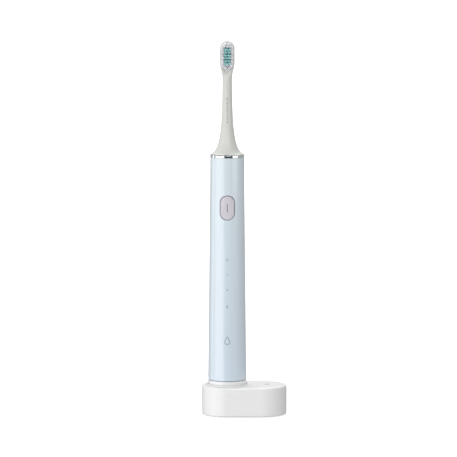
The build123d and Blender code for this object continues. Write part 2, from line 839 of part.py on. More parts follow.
can_inner = motor_radius - can_wall
strip_z = motor_z + can_floor
strip_top = strip_z + strip_length
shaft_z = strip_top - strip_grip
bush_plate_z = strip_top + push_gap
lower_bush_top = bush_plate_z + lower_bush_length
rotor_z = lower_bush_top + rotor_gap
rotor_top = motor_top - end_cap_spigot - rotor_gap
rotor_length = rotor_top - rotor_z
magnet_radius = rotor_radius + push_gap + magnet_thickness
stator_inner = magnet_radius + air_gap
shaft_top = ring_top + shaft_proud
rim_z = ring_top + skirt_gap
insert_z = rim_z + insert_start
shaft_flat_length = shaft_top - insert_z + shaft_flat_lead

with BuildPart() as motor_can:
    turned(motor_radius, motor_z, motor_top)
    turned(can_inner, strip_z, motor_top, Mode.SUBTRACT)
motor_can.part.label = "motor_can"
export_step(motor_can.part, "parts/motor_can.step")

with BuildPart() as motor_end_cap:
    turned(motor_radius, motor_top, motor_top + end_cap_thickness)
    turned(can_inner - push_gap, motor_top - end_cap_spigot, motor_top)
    bush_seat = bush_radius + push_gap
    turned(bush_seat, motor_top - end_cap_spigot, motor_top + end_cap_thickness, Mode.SUBTRACT)
motor_end_cap.part.label = "motor_end_cap"
export_step(motor_end_cap.part, "parts/motor_end_cap.step")

with BuildPart() as bush_plate:
    turned(can_inner - push_gap, bush_plate_z, bush_plate_z + bush_plate_thickness)
    turned(bush_seat, bush_plate_z, bush_plate_z + bush_plate_thickness, Mode.SUBTRACT)
bush_plate.part.label = "bush_plate"
export_step(bush_plate.part, "parts/bush_plate.step")

with BuildPart() as lower_bush:
    turned(bush_radius, bush_plate_z, lower_bush_top)
    turned(shaft_radius + running_clearance, bush_plate_z, lower_bush_top, Mode.SUBTRACT)
lower_bush.part.label = "lower_bush"
export_step(lower_bush.part, "parts/lower_bush.step")

with BuildPart() as upper_bush:
    upper_bush_z = motor_top - end_cap_spigot
    turned(bush_radius, upper_bush_z, motor_top + end_cap_thickness)
    turned(shaft_radius + running_clearance, upper_bush_z, motor_top + end_cap_thickness, Mode.SUBTRACT)
upper_bush.part.label = "upper_bush"
export_step(upper_bush.part, "parts/upper_bush.step")

with BuildPart() as torsion_strip:
    with Locations((dock_x, 0, strip_z)):
        Box(strip_width, strip_thickness, strip_length, align=BASE)
torsion_strip.part.label = "torsion_strip"
export_step(torsion_strip.part, "parts/torsion_strip.step")

with BuildPart() as stator_core:
    turned(can_inner - push_gap, rotor_z, rotor_top)
    turned(stator_inner, rotor_z, rotor_top, Mode.SUBTRACT)
    with Locations((dock_x, 0, rotor_z)):
        Box(2 * motor_radius, pole_gap, rotor_length, align=BASE, mode=Mode.SUBTRACT)
stator_core.part.label = "stator_core"
export_step(stator_core.part, "parts/stator_core.step")

with BuildPart() as stator_coils:
    with Locations((dock_x, 0, rotor_z)):
        Box(2 * motor_radius, pole_gap - 2 * coil_inset, rotor_length, align=BASE)
    turned(can_inner - 2 * push_gap, rotor_z, rotor_top, Mode.INTERSECT)
    turned(stator_inner + push_gap, rotor_z, rotor_top, Mode.SUBTRACT)
stator_coils.part.label = "stator_coils"
export_step(stator_coils.part, "parts/stator_coils.step")

with BuildPart() as drive_shaft:
    turned(shaft_radius, shaft_z, shaft_top)
    chamfer(drive_shaft.faces().sort_by(Axis.Z)[-1].edges(), shaft_flat)
    # Slot that takes the torsion strip, and the flat that keys the brush head. Both cutters are wider
    # than the shaft.
    shaft_cut = 2 * shaft_radius + bush_radius
    with Locations((dock_x, 0, shaft_z)):
        slot_width = strip_thickness + 2 * sliding_clearance
        Box(shaft_cut, slot_width, strip_grip + push_gap, align=BASE, mode=Mode.SUBTRACT)
    with Locations((dock_x, shaft_radius - shaft_flat, shaft_top)):
        key = (Align.CENTER, Align.MIN, Align.MAX)
        Box(shaft_cut, shaft_radius, shaft_flat_length, align=key, mode=Mode.SUBTRACT)
drive_shaft.part.label = "drive_shaft"
export_step(drive_shaft.part, "parts/drive_shaft.step")

with BuildPart() as rotor_yoke:
    turned(rotor_radius, rotor_z, rotor_top)
    turned(shaft_radius, rotor_z, rotor_top, Mode.SUBTRACT)
rotor_yoke.part.label = "rotor_yoke"
export_step(rotor_yoke.part, "parts/rotor_yoke.step")

with BuildPart() as rotor_magnets:
    turned(magnet_radius, rotor_z, rotor_top)
    turned(rotor_radius + push_gap, rotor_z, rotor_top, Mode.SUBTRACT)
    with Locations((dock_x, 0, rotor_z)):
        with PolarLocations(magnet_radius, magnet_count, start_angle=180 / magnet_count):
            Box(2 * magnet_radius, magnet_gap, rotor_length, align=BASE, mode=Mode.SUBTRACT)
rotor_magnets.part.label = "rotor_magnets"
export_step(rotor_magnets.part, "parts/rotor_magnets.step")

# ======================================================================= brush head

skirt_radius = ring_radius - skirt_inset
neck_top = rim_z + neck_length
head_top = neck_top + head_length
insert_top = insert_z + insert_length
upper_head_z = head_top - head_radius
lower_head_z = neck_top + shoulder_length
head_centre_z = (upper_head_z + lower_head_z) / 2
plate_width = 2 * (head_radius - plate_rim)
plate_length = upper_head_z - lower_head_z + plate_width
head_face = -head_front
flat_y = shaft_radius - shaft_flat

# The bell's curve leaves the rim almost flat and then runs up the neck.
bell_points = [
    (skirt_radius, rim_z),
    (neck_radius + bell_flare, rim_z + bell_flare_share * neck_length),
    (neck_radius + bell_waist, rim_z + bell_waist_share * neck_length),
    (neck_radius, neck_top),
]
# The hollow under the skirt follows it, and ends at the insert's bore.
throat_z = rim_z + throat_height
hollow_points = [
    (skirt_radius - skirt_wall, rim_z),
    (skirt_radius - skirt_hollow, rim_z + skirt_hollow_rise),
    (insert_radius + throat_wall, throat_z),
]

with BuildPart() as brush_body:
    # Oval head with sloping shoulders down to the neck, rounded at its edges.
    with BuildSketch(facing_front(0, head_face)):
        with Locations((0, upper_head_z), (0, lower_head_z)):
            Circle(head_radius)
        with Locations((0, neck_top - head_root)):
            Circle(neck_radius - head_sink)
        make_hull()
    extrude(amount=-head_thickness)
    fillet(brush_body.faces().sort_by(Axis.Y)[-1].edges(), head_edge)
    fillet(brush_body.faces().sort_by(Axis.Y)[0].edges(), head_lip)
    with BuildSketch(facing_front(0)):
        with BuildLine():
            bell = Bezier(*bell_points)
            Line(bell @ 1, (0, neck_top))
            Line((0, neck_top), (0, rim_z))
            Line((0, rim_z), bell @ 0)
        make_face()
    revolve(axis=spin_axis)
    # Hollow skirt and the bore for the insert.
    with BuildSketch(facing_front(0)):
        with BuildLine():
            hollow = Bezier(*hollow_points)
            Line(hollow @ 1, (0, throat_z))
            Line((0, throat_z), (0, rim_z))
            Line((0, rim_z), hollow @ 0)
        make_face()
    revolve(axis=spin_axis, mode=Mode.SUBTRACT)
    turned(insert_radius + push_gap, rim_z, insert_top + push_gap, Mode.SUBTRACT)
    # Recess for the tuft plate.
    with BuildSketch(facing_front(head_centre_z, head_face)):
        SlotOverall(plate_length + 2 * push_gap, plate_width + 2 * push_gap, rotation=90)
    extrude(amount=-(tuft_plate_thickness + push_gap), mode=Mode.SUBTRACT)
brush_body.part.label = "brush_body"
export_step(brush_body.part, "parts/brush_body.step")

# Tufts: three groups of four teal ones with two white ones at each side, and white ones round the ends.
groups = [head_centre_z + group_shift + group * group_pitch for group in (-1, 0, 1)]
quarters = [(side, row) for row in (-1, 1) for side in (-1, 1)]
teal_spots = [(side * teal_spread, z + row * teal_rise) for z in groups for side, row in quarters]
white_spots = [(side * side_spread, z + row * side_rise) for z in groups for side, row in quarters]
for across, beyond in upper_tufts:
    white_spots += [(x, upper_head_z + beyond) for x in sorted({-across, across})]
for across, beyond in lower_tufts:
    white_spots += [(x, lower_head_z - beyond) for x in sorted({-across, across})]

with BuildPart() as tuft_plate:
    with BuildSketch(facing_front(head_centre_z, head_face + tuft_plate_thickness)):
        SlotOverall(plate_length, plate_width, rotation=90)
    extrude(amount=tuft_plate_thickness)
    with BuildSketch(facing_front(0, head_face)):
        with Locations(teal_spots + white_spots):
            Circle(tuft_radius + sliding_clearance)
    extrude(amount=-tuft_root, mode=Mode.SUBTRACT)
tuft_plate.part.label = "tuft_plate"
export_step(tuft_plate.part, "parts/tuft_plate.step")

with BuildPart() as bristles_teal:
    with BuildSketch(facing_front(0, head_face + tuft_root)):
        with Locations(teal_spots):
            Circle(tuft_radius)
    extrude(amount=tuft_root + tuft_length)
bristles_teal.part.label = "bristles_teal"
export_step(bristles_teal.part, "parts/bristles_teal.step")

with BuildPart() as bristles_white:
    with BuildSketch(facing_front(0, head_face + tuft_root)):
        with Locations(white_spots):
            Circle(tuft_radius)
    extrude(amount=tuft_root + tuft_length)
bristles_white.part.label = "bristles_white"
export_step(bristles_white.part, "parts/bristles_white.step")

with BuildPart() as shaft_insert:
    turned(insert_radius, insert_z, insert_top)
    turned(shaft_radius + sliding_clearance, insert_z, insert_top, Mode.SUBTRACT)
    # Web that fills the bore behind the shaft's flat, with a slot for the clip.
    web = flat_y + sliding_clearance
    with Locations((dock_x, web, insert_top)):
        behind = (Align.CENTER, Align.MIN, Align.MAX)
        Box(2 * clip_width, insert_radius - web - push_gap, insert_length, align=behind)
    turned(insert_radius, insert_z, insert_top, Mode.INTERSECT)
    with Locations((dock_x, web, insert_top)):
        slot = clip_width + 2 * push_gap
        Box(slot, clip_thickness + push_gap, clip_length, align=behind, mode=Mode.SUBTRACT)
shaft_insert.part.label = "shaft_insert"
export_step(shaft_insert.part, "parts/shaft_insert.step")

with BuildPart() as grip_clip:
    with Locations((dock_x, web, insert_top)):
        Box(clip_width, clip_thickness, clip_length - push_gap, align=behind)
grip_clip.part.label = "grip_clip"
export_step(grip_clip.part, "parts/grip_clip.step")
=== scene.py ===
"""Looks of an electric toothbrush standing in its charging base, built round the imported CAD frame.

The row frame is in metres, +Z up, with its origin at the centre of the base's footprint. The button,
the mode lights and the bristles face -Y, and the brush stands on the axis x = DOCK_X. Sizes in this
file are in millimetres, and the modelling functions turn them into metres.
"""

from __future__ import annotations

import logging
import math
import random
from collections.abc import Callable, Iterator, Sequence
from contextlib import contextmanager
from dataclasses import dataclass, field
from enum import Enum

import bmesh
import bpy
from mathutils import Euler, Matrix, Vector

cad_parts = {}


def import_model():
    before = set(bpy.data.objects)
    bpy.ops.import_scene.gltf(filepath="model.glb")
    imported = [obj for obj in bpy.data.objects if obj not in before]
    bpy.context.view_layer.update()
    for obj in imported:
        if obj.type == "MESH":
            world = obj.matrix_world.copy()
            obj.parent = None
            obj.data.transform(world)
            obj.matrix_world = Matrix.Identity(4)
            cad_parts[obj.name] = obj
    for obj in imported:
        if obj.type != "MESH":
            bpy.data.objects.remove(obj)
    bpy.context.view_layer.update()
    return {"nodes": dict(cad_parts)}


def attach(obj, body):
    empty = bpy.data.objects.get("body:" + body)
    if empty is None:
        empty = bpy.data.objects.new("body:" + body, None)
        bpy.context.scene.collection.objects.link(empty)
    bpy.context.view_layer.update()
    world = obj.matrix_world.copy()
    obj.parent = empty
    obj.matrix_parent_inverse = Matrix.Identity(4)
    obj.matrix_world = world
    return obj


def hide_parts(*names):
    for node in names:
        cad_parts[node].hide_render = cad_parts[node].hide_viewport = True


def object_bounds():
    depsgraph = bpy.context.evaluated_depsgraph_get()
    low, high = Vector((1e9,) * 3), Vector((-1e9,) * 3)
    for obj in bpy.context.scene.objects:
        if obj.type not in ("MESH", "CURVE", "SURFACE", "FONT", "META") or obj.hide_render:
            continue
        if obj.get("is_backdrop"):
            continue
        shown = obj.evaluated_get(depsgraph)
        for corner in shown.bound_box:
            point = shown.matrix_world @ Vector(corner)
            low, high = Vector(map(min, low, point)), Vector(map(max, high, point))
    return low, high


LOG = logging.getLogger("toothbrush")
MM = 0.001

# Places that several sub-assemblies share.
DOCK_X = -12.4
SEAT_Z = 20.9
HOUSING_Z = 26.1
HOUSING_TOP = 189.3
HANDLE_BASE_RADIUS = 14.0
HANDLE_TOP_RADIUS = 12.41

Point = tuple[float, float]
Colour = tuple[float, float, float, float]


class Facing(Enum):
    """Which way the flat face of a pill-shaped block looks."""

    UP = "up"
    FRONT = "front"


class Close(Enum):
    """How a turned profile ends."""

    RING = "ring"
    CAPPED = "capped"


class Pattern(Enum):
    """What a finish repeats over its surface."""

    GRAIN = "grain"
    WINDING = "winding"
    CELLS = "cells"
    TRACKS = "tracks"


# ------------------------------------------------------------------------------------ materials


def linear(code: str) -> Colour:
    """Turns an sRGB hex colour into linear light.

    Args:
        code: Six hex digits, such as "CBDCE8".

    Returns:
        Red, green, blue and an alpha of one.
    """
    shares = [int(code[at : at + 2], 16) / 255 for at in (0, 2, 4)]
    red, green, blue = (s / 12.92 if s <= 0.04045 else ((s + 0.055) / 1.055) ** 2.4 for s in shares)
    return red, green, blue, 1.0


def add_node(
    tree: bpy.types.NodeTree,
    kind: str,
    settings: dict | None = None,
    links: dict | None = None,
) -> bpy.types.Node:
    """Adds a node with its settings and links.

    Args:
        tree: The material's or the world's node tree.
        kind: The node's type.
        settings: Properties and unlinked inputs, by name or by the input's number.
        links: Sockets that feed its inputs, by the input's name or number.

    Returns:
        The new node.
    """
    node = tree.nodes.new(kind)
    for key, value in (settings or {}).items():
        if isinstance(key, str) and hasattr(node, key):
            setattr(node, key, value)
        else:
            node.inputs[key].default_value = value
    for key, source in (links or {}).items():
        tree.links.new(source, node.inputs[key])
    return node


def blank_material(name: str) -> tuple[bpy.types.Material, bpy.types.NodeTree]:
    """Makes a material with an empty node tree, and returns both."""
    made = bpy.data.materials.new(name)
    made.use_nodes = True
    made.node_tree.nodes.clear()
    return made, made.node_tree


@dataclass(frozen=True)
class Finish:
    """One real material with the surface that its making left on it.

    Grain and relief are in millimetres. Stretch squeezes the pattern along an axis, so that a brushed
    or drawn metal shows lines. Fade is a second colour that the lower end of a tall piece turns to.
    """

    name: str
    colour: str
    shade: str
    roughness: float
    spread: float = 0.05
    grain: float = 0.5
    relief: float = 0.002
    metallic: float = 0.0
    ior: float = 1.5
    stretch: tuple[float, float, float] = (1.0, 1.0, 1.0)
    pattern: Pattern = Pattern.GRAIN
    coat: float = 0.0
    coat_ior: float = 1.5
    coat_roughness: float = 0.05
    subsurface: float = 0.0
    fade: str = ""

    def pattern_node(self, tree: bpy.types.NodeTree, place: bpy.types.NodeSocket) -> bpy.types.NodeSocket:
        """Adds the texture that the finish repeats.

        Args:
            tree: The material's node tree.
            place: The mapped Object coordinates.

        Returns:
            The texture's value, from 0 to 1.
        """
        density = 1 / (self.grain * MM)
        if self.pattern is Pattern.WINDING:
            # Turns of wire lie one above another, so the bands run along Z. A wave's period is
            # 2 pi / (20 x scale) of a metre, which is set to the wire's thickness.
            turns = 2 * math.pi * density / 20
            wave = {"wave_type": "BANDS", "bands_direction": "Z", "Scale": turns, "Distortion": 0.3}
            return add_node(tree, "ShaderNodeTexWave", wave, {"Vector": place}).outputs["Fac"]
        if self.pattern is Pattern.CELLS:
            return add_node(tree, "ShaderNodeTexVoronoi", {"Scale": density}, {"Vector": place}).outputs[
                "Distance"
            ]
        if self.pattern is Pattern.TRACKS:
            # Copper tracks stand a little above the board under its solder mask.
            tracks = {
                "offset": 0.35,
                "Scale": density,
                "Mortar Size": 0.06,
                "Brick Width": 1.7,
                "Row Height": 0.5,
                "Color1": (1, 1, 1, 1),
                "Color2": (0.7, 0.7, 0.7, 1),
                "Mortar": (0, 0, 0, 1),
            }
            return add_node(tree, "ShaderNodeTexBrick", tracks, {"Vector": place}).outputs["Color"]
        noise = {"Scale": density, "Detail": 4.0, "Roughness": 0.55}
        return add_node(tree, "ShaderNodeTexNoise", noise, {"Vector": place}).outputs["Fac"]

    def make(self) -> bpy.types.Material:
        """Builds the material's nodes.

        Returns:
            The material, made once and then shared.
        """
        made = bpy.data.materials.get(self.name)
        if made:
            return made
        made, tree = blank_material(self.name)
        where = add_node(tree, "ShaderNodeTexCoord").outputs["Object"]
        place = add_node(tree, "ShaderNodeMapping", {"Scale": self.stretch}, {"Vector": where}).outputs[0]
        value = self.pattern_node(tree, place)
        # A slow cloud of uneven colour, as resin, plating or ink has over a few millimetres.
        cloud = add_node(tree, "ShaderNodeTexNoise", {"Scale": 120.0, "Detail": 2.0}, {"Vector": where})
        share = add_node(
            tree,
            "ShaderNodeMix",
            {"data_type": "FLOAT", 0: 0.45},
            {2: value, 3: cloud.outputs["Fac"]},
        ).outputs[0]
        tone = add_node(
            tree,
            "ShaderNodeMix",
            {"data_type": "RGBA", 6: linear(self.colour), 7: linear(self.shade)},
            {0: share},
        ).outputs[2]
        if self.fade:
            height = add_node(tree, "ShaderNodeSeparateXYZ", {}, {0: where}).outputs["Z"]
            span = {1: HOUSING_Z * MM, 2: HOUSING_TOP * MM, 3: 1.0, 4: 0.0}
            low = add_node(tree, "ShaderNodeMapRange", span, {0: height}).outputs[0]
            tone = add_node(
                tree, "ShaderNodeMix", {"data_type": "RGBA", 7: linear(self.fade)}, {0: low, 6: tone}
            ).outputs[2]
        rough_span = {3: max(0.02, self.roughness - self.spread), 4: self.roughness + self.spread}
        rough = add_node(tree, "ShaderNodeMapRange", rough_span, {0: value}).outputs[0]
        bump = add_node(
            tree, "ShaderNodeBump", {"Strength": 1.0, "Distance": self.relief * MM}, {"Height": value}
        )
        shader = {
            "Metallic": self.metallic,
            "IOR": self.ior,
            "Coat Weight": self.coat,
            "Coat IOR": self.coat_ior,
            "Coat Roughness": self.coat_roughness,
            "Subsurface Weight": self.subsurface,
            "Subsurface Radius": (1.0, 1.0, 1.0),
            "Subsurface Scale": 0.6 * MM,
        }
        surface = add_node(
            tree,
            "ShaderNodeBsdfPrincipled",
            shader,
            {"Base Color": tone, "Roughness": rough, "Normal": bump.outputs["Normal"]},
        )
        add_node(tree, "ShaderNodeOutputMaterial", {}, {"Surface": surface.outputs[0]})
        return made


# Moulded plastics of the shells. Their spark-eroded tool grain is about 0.05 mm, too fine to show,
# so it is drawn at 0.5 mm with hardly any height.
BASE_SHELL = Finish("base_abs_satin", "F0F0EF", "EAEAEA", 0.34, grain=0.5, relief=0.002, ior=1.54, coat=0.15)
COLLAR = Finish("collar_abs_satin", "E4E4E4", "DDDDDE", 0.38, grain=0.5, relief=0.002, ior=1.54)
UNDERSIDE = Finish("base_plate_abs_grained", "DEDEDC", "D3D3D1", 0.55, 0.06, 0.6, 0.012, ior=1.54)
CAP_SHELL = Finish("bottom_cap_abs_gloss", "EEF0F1", "E7E9EA", 0.26, grain=0.5, relief=0.001, coat=0.2)
# Polycarbonate under a pearl lacquer, whose mica reflects more than a plain resin: a shade bluer at
# the foot.
HANDLE_LACQUER = Finish(
    "handle_pearl_lacquer",
    "D8E4EA",
    "D4E0E7",
    0.4,
    0.04,
    0.6,
    0.0015,
    ior=1.6,
    coat=1.0,
    coat_ior=1.6,
    coat_roughness=0.16,
    fade="D2DFEB",
)
BUTTON_SKIN = Finish("button_abs_satin", "D2CFD6", "CCC9D1", 0.4, grain=0.45, relief=0.002)
LIGHT_BAR = Finish("light_bar_smoked_polycarbonate", "969B9C", "8B9092", 0.2, ior=1.58, relief=0.0005)
WINDOW = Finish("mode_window_polycarbonate", "D3E1EA", "CCDBE6", 0.3, ior=1.58, relief=0.0005)
MARK_INK = Finish("mark_pad_printed_ink", "84909C", "7A8692", 0.5, grain=0.25, relief=0.004)
NECK_INK = Finish("neck_pad_printed_ink", "A7ABAC", "9DA1A3", 0.5, grain=0.25, relief=0.004)
LENS = Finish("status_lens_polycarbonate", "E2E4E6", "DADCDF", 0.22, ior=1.58, relief=0.0005, subsurface=0.3)
PAD = Finish("foot_pad_thermoplastic_rubber", "B4B6B8", "A6A8AB", 0.78, 0.06, 0.5, 0.02)
RUBBER = Finish("seal_epdm_rubber", "34373A", "2A2C2F", 0.62, 0.08, 0.4, 0.01)
SILICONE = Finish("button_seal_silicone", "BEBBC4", "B0ADB7", 0.55, 0.08, 0.4, 0.01, subsurface=0.2)
GLAND = Finish("cord_gland_pvc", "E0E0DE", "D6D6D4", 0.5, 0.06, 0.5, 0.006)

# How far machining lines squeeze the grain along X, Y and Z.
LATHED = (1, 1, 9)
DRAWN = (6, 6, 0.6)
ROLLED = (1, 8, 1)

# Metals: plated, ground, drawn or sintered.
TRIM = Finish("trim_ring_chrome_plate", "EDF0F2", "E2E6E9", 0.12, 0.03, 0.8, 0.0005, 1.0, stretch=(1, 1, 12))
SCREW = Finish("screw_zinc_plated_steel", "B9BCBE", "9EA1A4", 0.34, 0.1, 0.3, 0.004, 1.0)
SHAFT = Finish("shaft_ground_stainless_steel", "C9CBCC", "B0B3B5", 0.2, 0.08, 0.4, 0.002, 1.0, stretch=LATHED)
CAN = Finish("motor_can_drawn_steel", "B5B8BA", "9B9FA2", 0.32, 0.1, 0.6, 0.004, 1.0, stretch=DRAWN)
MAGNET = Finish("magnet_nickel_plate", "A9ABAA", "8E908F", 0.3, 0.08, 0.5, 0.003, 1.0)
NICKEL = Finish("battery_tab_nickel_strip", "C4C1B8", "ABA89F", 0.28, 0.08, 0.4, 0.003, 1.0, stretch=ROLLED)
BRONZE = Finish("bush_sintered_bronze", "A9793F", "845B2C", 0.45, 0.12, 0.25, 0.012, 1.0)
CAPACITOR = Finish("capacitor_aluminium_can", "3D4B66", "2E3A52", 0.4, 0.1, 0.7, 0.004, 0.1, coat=0.3)
FERRITE = Finish("ferrite_sintered", "3B3C3F", "2B2C2E", 0.6, 0.1, 0.3, 0.012)
WIRE = Finish(
    "winding_enamelled_copper", "B5622E", "6E3317", 0.3, 0.08, 0.3, 0.06, 0.8, pattern=Pattern.WINDING
)

# Inner plastics, boards and the cell.
BOBBIN = Finish("bobbin_pbt_black", "2C2D30", "212225", 0.5, 0.06, 0.5, 0.006)
CHASSIS = Finish(
    "chassis_glass_filled_nylon", "6E7277", "5E6267", 0.58, 0.08, 0.6, 0.012, stretch=(1, 1, 0.4)
)
BOARD = Finish(
    "circuit_board_solder_mask", "2C7A4B", "1D5B37", 0.35, 0.08, 1.6, 0.03, pattern=Pattern.TRACKS
)
CHIP = Finish("chip_epoxy_mould", "26272A", "1C1D1F", 0.55, 0.08, 0.3, 0.006)
LED = Finish("led_silicone_lens", "F0E6B4", "E3D58E", 0.2, 0.05, 0.3, 0.001, subsurface=0.4)
SLEEVE = Finish(
    "cell_shrink_sleeve", "2E6E8E", "245A76", 0.25, 0.06, 1.5, 0.01, coat=0.4, stretch=(1, 1, 0.25)
)
FOAM = Finish("battery_eva_foam", "77797C", "5C5E61", 0.85, 0.08, 0.5, 0.12, pattern=Pattern.CELLS)

# Brush head: acetal body and insert, nylon bristles.
BRUSH_BODY = Finish(
    "brush_body_acetal",
    "D5D6D1",
    "CFD0CB",
    0.45,
    0.04,
    0.5,
    0.0015,
    ior=1.48,
    coat=0.1,
    subsurface=0.15,
)
TUFT_PLATE = Finish("tuft_plate_acetal", "F0EFF8", "E8E6F2", 0.4, 0.05, 0.5, 0.004, subsurface=0.15)
INSERT = Finish("shaft_insert_acetal", "E6E6E2", "DADAD5", 0.4, 0.05, 0.5, 0.004)
WHITE_NYLON = Finish("bristle_nylon_white", "FCFCFE", "F4F5FA", 0.35, 0.08, 0.3, 0.002, ior=1.53)
TEAL_NYLON = Finish("bristle_nylon_teal", "98E9EE", "CCFDFB", 0.35, 0.08, 0.3, 0.002, ior=1.53)

# CAD nodes that stay as they are and only get their finish.
CAD_FINISHES: dict[str, Finish] = {
    "base_plate": UNDERSIDE,
    "foot_pad": PAD,
    "base_screws": SCREW,
    "transmitter_core": FERRITE,
    "transmitter_bobbin": BOBBIN,
    "transmitter_coil": WIRE,
    "charger_board": BOARD,
    "board_screws": SCREW,
    "charger_capacitor": CAPACITOR,
    "charger_inductor": FERRITE,
    "charger_chip": CHIP,
    "status_led": LED,
    "status_lens": LENS,
    "cable_gland": GLAND,
    "bottom_seal": RUBBER,
    "receiver_coil": WIRE,
    "receiver_sleeve": FERRITE,
    "battery_foam": FOAM,
    "battery_cell": SLEEVE,
    "battery_tabs": NICKEL,
    "chassis": CHASSIS,
    "control_board": BOARD,
    "control_screws": SCREW,
    "controller_chip": CHIP,
    "charge_chip": CHIP,
    "mode_leds": LED,
    "light_guide": BOBBIN,
    "tact_switch": BOBBIN,
    "button_seal": SILICONE,
    "motor_can": CAN,
    "motor_end_cap": CAN,
    "bush_plate": CAN,
    "lower_bush": BRONZE,
    "upper_bush": BRONZE,
    "torsion_strip": SHAFT,
    "stator_core": FERRITE,
    "stator_coils": WIRE,
    "switch_plunger": BOBBIN,
    "drive_shaft": SHAFT,
    "rotor_yoke": CAN,
    "rotor_magnets": MAGNET,
    "shaft_insert": INSERT,
    "grip_clip": NICKEL,
}


# ------------------------------------------------------------------------------------ modelling


def clear_selection() -> None:
    """Leaves edit mode and deselects every object."""
    if bpy.context.mode != "OBJECT":
        bpy.ops.object.mode_set(mode="OBJECT")
    bpy.ops.object.select_all(action="DESELECT")


def pick_only(obj: bpy.types.Object) -> None:
    """Makes obj the only selected object and the active one."""
    clear_selection()
    obj.select_set(True)
    bpy.context.view_layer.objects.active = obj


def take(name: str) -> bpy.types.Object:
    """Names the object that a primitive operator has just added, and returns it."""
    obj = bpy.context.active_object
    obj.name = name
    obj.data.name = name
    return obj


@contextmanager
def editing(obj: bpy.types.Object) -> Iterator[None]:
    """Opens obj alone in edit mode with nothing selected in it, and closes it afterwards."""
    pick_only(obj)
    bpy.ops.object.mode_set(mode="EDIT")
    bpy.ops.mesh.select_all(action="DESELECT")
    yield
    bpy.ops.object.mode_set(mode="OBJECT")


def choose(obj: bpy.types.Object, part: str, test: Callable[[Sequence[Vector]], bool]) -> None:
    """Selects in edit mode what passes a test on its corners, and nothing else.

    Args:
        obj: The object that is open in edit mode.
        part: VERT, EDGE or FACE.
        test: Gets the corners of one vertex, edge or face in millimetres, in the object's own frame.
    """
    bpy.ops.mesh.select_mode(type=part)
    bpy.ops.mesh.select_all(action="DESELECT")
    mesh = bmesh.from_edit_mesh(obj.data)
    if part == "VERT":
        chosen = [vert for vert in mesh.verts if test([vert.co / MM])]
    else:
        items = mesh.edges if part == "EDGE" else mesh.faces
        chosen = [item for item in items if test([vert.co / MM for vert in item.verts])]
    for item in chosen:
        item.select_set(True)
    mesh.select_flush_mode()
    bmesh.update_edit_mesh(obj.data)


def settle(obj: bpy.types.Object, angle: float = 35.0) -> bpy.types.Object:
    """Puts the object's place in its mesh, turns its faces outwards and smooths it.

    Args:
        obj: The finished piece.
        angle: Edges sharper than this many degrees stay sharp.

    Returns:
        The same object.
    """
    pick_only(obj)
    bpy.ops.object.transform_apply(location=True, rotation=True, scale=True)
    with editing(obj):
        bpy.ops.mesh.select_all(action="SELECT")
        bpy.ops.mesh.remove_doubles(threshold=0.002 * MM)
        bpy.ops.mesh.normals_make_consistent(inside=False)
    bpy.ops.object.shade_smooth_by_angle(angle=math.radians(angle))
    # Large faces keep their own direction next to narrow roundings.
    weighted = obj.modifiers.new("weighted", "WEIGHTED_NORMAL")
    weighted.keep_sharp = True
    bpy.ops.object.modifier_apply(modifier=weighted.name)
    return obj


def bezier(controls: Sequence[Point], count: int) -> list[Point]:
    """Points on a Bezier curve of any degree.

    Args:
        controls: Its control points, as radius and height.
        count: How many points to return, ends included.

    Returns:
        The points in order.
    """
    found = []
    for at in range(count):
        level = [Vector(p) for p in controls]
        share = at / (count - 1)
        while len(level) > 1:
            level = [a.lerp(b, share) for a, b in zip(level, level[1:])]
        found.append(tuple(level[0]))
    return found


def turn(name: str, profile: Sequence[Point], close: Close, segments: int = 96) -> bpy.types.Object:
    """Turns a profile about the brush's axis, by extruding and resizing a circle.

    Args:
        name: The piece's name.
        profile: Radius and height of each ring, in order along the surface.
        close: RING joins the last ring to the first, CAPPED fills both.
        segments: Sides of each ring.

    Returns:
        The closed shell, its place in its mesh.
    """
    clear_selection()
    (radius, height), *rest = profile
    bpy.ops.mesh.primitive_circle_add(
        vertices=segments, radius=radius * MM, location=(DOCK_X * MM, 0, height * MM)
    )
    obj = take(name)
    bpy.ops.object.transform_apply(location=True, rotation=True, scale=True)
    bpy.ops.object.mode_set(mode="EDIT")
    bpy.ops.mesh.select_mode(type="EDGE")
    bpy.ops.mesh.select_all(action="SELECT")
    for next_radius, next_height in rest:
        rise = (0, 0, (next_height - height) * MM)
        bpy.ops.mesh.extrude_region_move(TRANSFORM_OT_translate={"value": rise})
        grow = next_radius / radius
        bpy.ops.transform.resize(value=(grow, grow, 1), center_override=(DOCK_X * MM, 0, next_height * MM))
        radius, height = next_radius, next_height
    bpy.ops.mesh.select_all(action="DESELECT")
    bpy.ops.mesh.select_mode(type="EDGE")
    bpy.ops.mesh.select_non_manifold()
    if close is Close.RING:
        bpy.ops.mesh.bridge_edge_loops()
    else:
        bpy.ops.mesh.edge_face_add()
        bpy.ops.mesh.select_all(action="SELECT")
        bpy.ops.mesh.fill_holes(sides=0)
    bpy.ops.object.mode_set(mode="OBJECT")
    return obj


def round_rings(obj: bpy.types.Object, rings: Sequence[Point], width: float, steps: int = 4) -> None:
    """Rounds the edges of a turned piece that lie on given rings.

    Args:
        obj: The turned piece.
        rings: Radius and height of each edge.
        width: The rounding's width.
        steps: Faces across it.
    """
    close_by = 0.02

    def on_ring(corners: Sequence[Vector]) -> bool:
        """Whether both ends of an edge lie on one of the rings."""
        return any(
            all(
                abs(math.hypot(c.x - DOCK_X, c.y) - radius) < close_by and abs(c.z - height) < close_by
                for c in corners
            )
            for radius, height in rings
        )

    with editing(obj):
        choose(obj, "EDGE", on_ring)
        bpy.ops.mesh.bevel(offset=width * MM, segments=steps, affect="EDGES")


